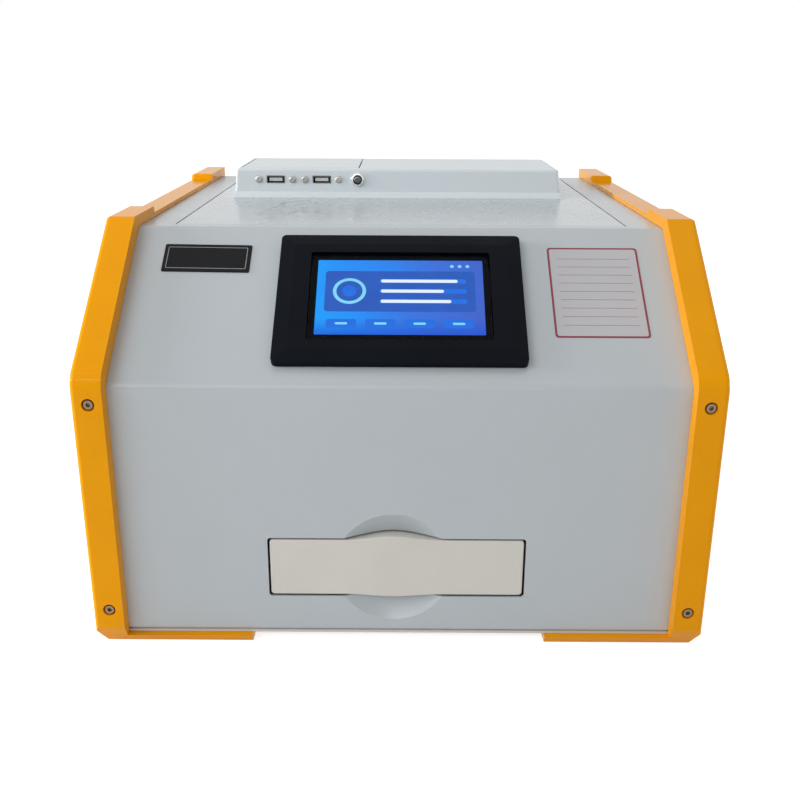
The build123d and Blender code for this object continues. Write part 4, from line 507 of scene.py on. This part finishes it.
def screen():
    """Generic lit screen: field, dim panel, dial ring, level bars and a row of keys."""
    dim = glow("screen_dim", srgb(44, 92, 188), 0.06)
    pale = glow("screen_pale", srgb(232, 244, 255), 0.02)
    cyan = glow("screen_cyan", srgb(130, 214, 250), 0.05)
    blue = glow("screen_blue", srgb(34, 112, 226), 0.08)

    def mark(name, outline, x, y, layer, mat, hole=None):
        matrix = slope_matrix(x, TOUCH_UP_SLOPE + y, DISPLAY_TOP + layer * LAYER)
        plate(f"screen_{name}", outline, INK, matrix, mat, hole)

    mark("field", rounded(FIELD_WIDTH, FIELD_HEIGHT, FIELD_CORNER), 0, 0, 0, lit_field())
    mark("panel", rounded(PANEL_WIDTH, PANEL_HEIGHT, PANEL_CORNER), 0, DIAL_Y, 1, dim)
    mark("dial", circle(DIAL_RADIUS), DIAL_X, DIAL_Y, 2, cyan, circle(DIAL_RADIUS - DIAL_LINE))
    mark("dial_core", circle(DIAL_CORE), DIAL_X, DIAL_Y, 2, blue)
    level_back = rounded(LEVEL_BACK_WIDTH, LEVEL_BACK_HEIGHT, LEVEL_BACK_CORNER)
    for index, length in enumerate(LEVEL_LENGTHS):
        y = LEVEL_Y - index * LEVEL_PITCH
        mark(f"level_back_{index}", level_back, LEVEL_X, y, 2, blue)
        x = LEVEL_X - (LEVEL_ROOM - length) / 2
        mark(f"level_{index}", rounded(length, LEVEL_HEIGHT, LEVEL_CORNER), x, y, 3, pale)
    key = rounded(KEY_WIDTH, KEY_HEIGHT, KEY_CORNER)
    key_mark = rounded(KEY_MARK_WIDTH, KEY_MARK_HEIGHT, KEY_MARK_CORNER)
    for index in range(KEY_COUNT):
        x = (index - (KEY_COUNT - 1) / 2) * KEY_PITCH
        mark(f"key_{index}", key, x, KEY_Y, 1, blue)
        mark(f"key_mark_{index}", key_mark, x, KEY_Y, 2, cyan)
    dot = rounded(DOT_SIZE, DOT_SIZE, DOT_CORNER)
    for index in range(DOT_COUNT):
        mark(f"dot_{index}", dot, DOT_X + index * DOT_PITCH, DOT_Y, 1, cyan)


def signs():
    """Blank plate at the left of the screen and a ruled blank card at its right."""
    black = surface("plate_black", srgb(22, 23, 26), 0.4, grain=900, depth=0.00001, vary=0.08, specular=0.1)
    place = slope_matrix(PLATE_X, PLATE_UP, 0, PLATE_TURN)
    plate("blank_plate", rounded(PLATE_WIDTH, PLATE_HEIGHT, PLATE_CORNER), PLATE_THICKNESS, place, black)
    silver = surface("plate_silver", srgb(150, 152, 155), 0.4, grain=900, vary=0.06, specular=0.3)
    wide, tall = PLATE_WIDTH - 2 * PLATE_MARGIN, PLATE_HEIGHT - 2 * PLATE_MARGIN
    place = slope_matrix(PLATE_X, PLATE_UP, PLATE_THICKNESS, PLATE_TURN)
    plate("blank_plate_line", rounded(wide, tall, PLATE_LINE_CORNER), INK, place, silver,
          rounded(wide - 2 * PLATE_LINE, tall - 2 * PLATE_LINE, PLATE_LINE_INNER_CORNER))
    card = surface("card_film", srgb(188, 188, 192), 0.4, grain=800, vary=0.02, specular=0.35)
    border = surface("card_border", srgb(140, 60, 74), 0.45, grain=800, vary=0.08, specular=0.3)
    rule = surface("card_rule", srgb(166, 128, 134), 0.45, grain=800, vary=0.06, specular=0.3)
    middle = slope_matrix(CARD_X, CARD_UP, 0)
    outer = rounded(CARD_WIDTH, CARD_HEIGHT, CARD_CORNER)
    inner = rounded(CARD_WIDTH - 2 * CARD_BORDER, CARD_HEIGHT - 2 * CARD_BORDER, CARD_INNER_CORNER)
    plate("card", outer, CARD_THICKNESS, middle, card)
    plate("card_border", outer, CARD_THICKNESS + LAYER, middle, border, inner)
    for index in range(RULE_COUNT):
        up = CARD_UP + ((RULE_COUNT - 1) / 2 - index) * RULE_PITCH
        place = slope_matrix(CARD_X, up, CARD_THICKNESS)
        plate(f"card_rule_{index}", rounded(RULE_WIDTH, RULE_LINE, RULE_CORNER), INK, place, rule)


def camera():
    """Camera of the photograph: place, turn, pitch down, roll and focal length."""
    right = Vector((math.cos(CAMERA_YAW), -math.sin(CAMERA_YAW), 0))
    ahead = Vector((math.sin(CAMERA_YAW), math.cos(CAMERA_YAW), 0))
    vertical = Vector((0, 0, 1))
    forward = ahead * math.cos(CAMERA_PITCH) - vertical * math.sin(CAMERA_PITCH)
    up = ahead * math.sin(CAMERA_PITCH) + vertical * math.cos(CAMERA_PITCH)
    side = right * math.cos(CAMERA_ROLL) + up * math.sin(CAMERA_ROLL)
    top = up * math.cos(CAMERA_ROLL) - right * math.sin(CAMERA_ROLL)
    data = bpy.data.cameras.new("camera")
    data.sensor_width = SENSOR_WIDTH
    data.sensor_fit = "AUTO"
    data.lens = FOCAL_PIXELS / PHOTO_PIXELS * SENSOR_WIDTH
    data.clip_start = NEAREST_VIEW
    obj = bpy.data.objects.new("camera", data)
    basis = Matrix((side, top, -forward)).transposed().to_4x4()
    obj.matrix_world = Matrix.Translation(CAMERA_PLACE) @ basis
    bpy.context.scene.collection.objects.link(obj)
    bpy.context.scene.camera = obj


def floor():
    """White floor that reaches white where it is lit and keeps a soft shadow."""
    mesh = bpy.data.meshes.new("floor")
    bm = bmesh.new()
    bmesh.ops.create_grid(bm, x_segments=FLOOR_GRID, y_segments=FLOOR_GRID, size=FLOOR_HALF_WIDTH)
    bm.to_mesh(mesh)
    bm.free()
    obj = bpy.data.objects.new("floor", mesh)
    obj.location = (0, 0, -FLOOR_DROP)
    bpy.context.scene.collection.objects.link(obj)
    s = Surface("floor_white")
    s.set(Base_Color=(0.82, 0.82, 0.82, 1), Roughness=0.9, Specular_IOR_Level=0.0)
    s.set(Emission_Color=(1, 1, 1, 1))
    s.feed(s.math("MULTIPLY", s.shows_backdrop(), FLOOR_GLOW), "Emission Strength")
    s.bump(s.noise(120, 2), 0.00002)
    mesh.materials.append(s.mat)


def backdrop():
    """White surroundings that light the object more softly than they show."""
    world = bpy.data.worlds.new("studio")
    world.use_nodes = True
    bpy.context.scene.world = world
    t = Tree(world.node_tree)
    light = t.add("ShaderNodeBackground", Color=(1, 1, 1, 1), Strength=WORLD_LIGHT)
    white = t.add("ShaderNodeBackground", Color=(1, 1, 1, 1), Strength=1.0)
    mix = t.add("ShaderNodeMixShader")
    t.link(t.shows_backdrop(), mix.inputs[0])
    t.link(light.outputs[0], mix.inputs[1])
    t.link(white.outputs[0], mix.inputs[2])
    t.link(mix.outputs[0], t.add("ShaderNodeOutputWorld").inputs["Surface"])


def lamp(name, place, aim, size, power):
    """Soft rectangular lamp that points at a spot."""
    data = bpy.data.lights.new(name, "AREA")
    data.shape = "RECTANGLE"
    data.size, data.size_y = size
    data.energy = power
    obj = bpy.data.objects.new(name, data)
    obj.location = place
    obj.rotation_euler = (Vector(aim) - Vector(place)).to_track_quat("-Z", "Y").to_euler()
    bpy.context.scene.collection.objects.link(obj)


def studio():
    """Floor, surroundings and lamps: two at the left, a low fill, a strip for the bends and one above."""
    floor()
    backdrop()
    lamp("key", (-1.2, -0.9, 1.5), (0, 0, 0.15), (1.0, 1.0), 6)
    lamp("side", (-1.9, -0.2, 0.55), (0.1, 0, 0.18), (0.7, 0.5), 24)
    lamp("fill", (1.9, 0.25, 0.16), (0.17, 0.0, 0.12), (0.8, 0.25), 8)
    lamp("strip", (-0.8, -1.5, 1.1), (-0.1, -0.19, 0.16), (2.2, 0.06), 9)
    lamp("top", (0.0, 0.3, 1.9), (0, 0, 0.2), (1.6, 1.2), 2.5)


dress()
screen()
signs()
camera()
studio()
bpy.context.scene.view_settings.view_transform = "Standard"
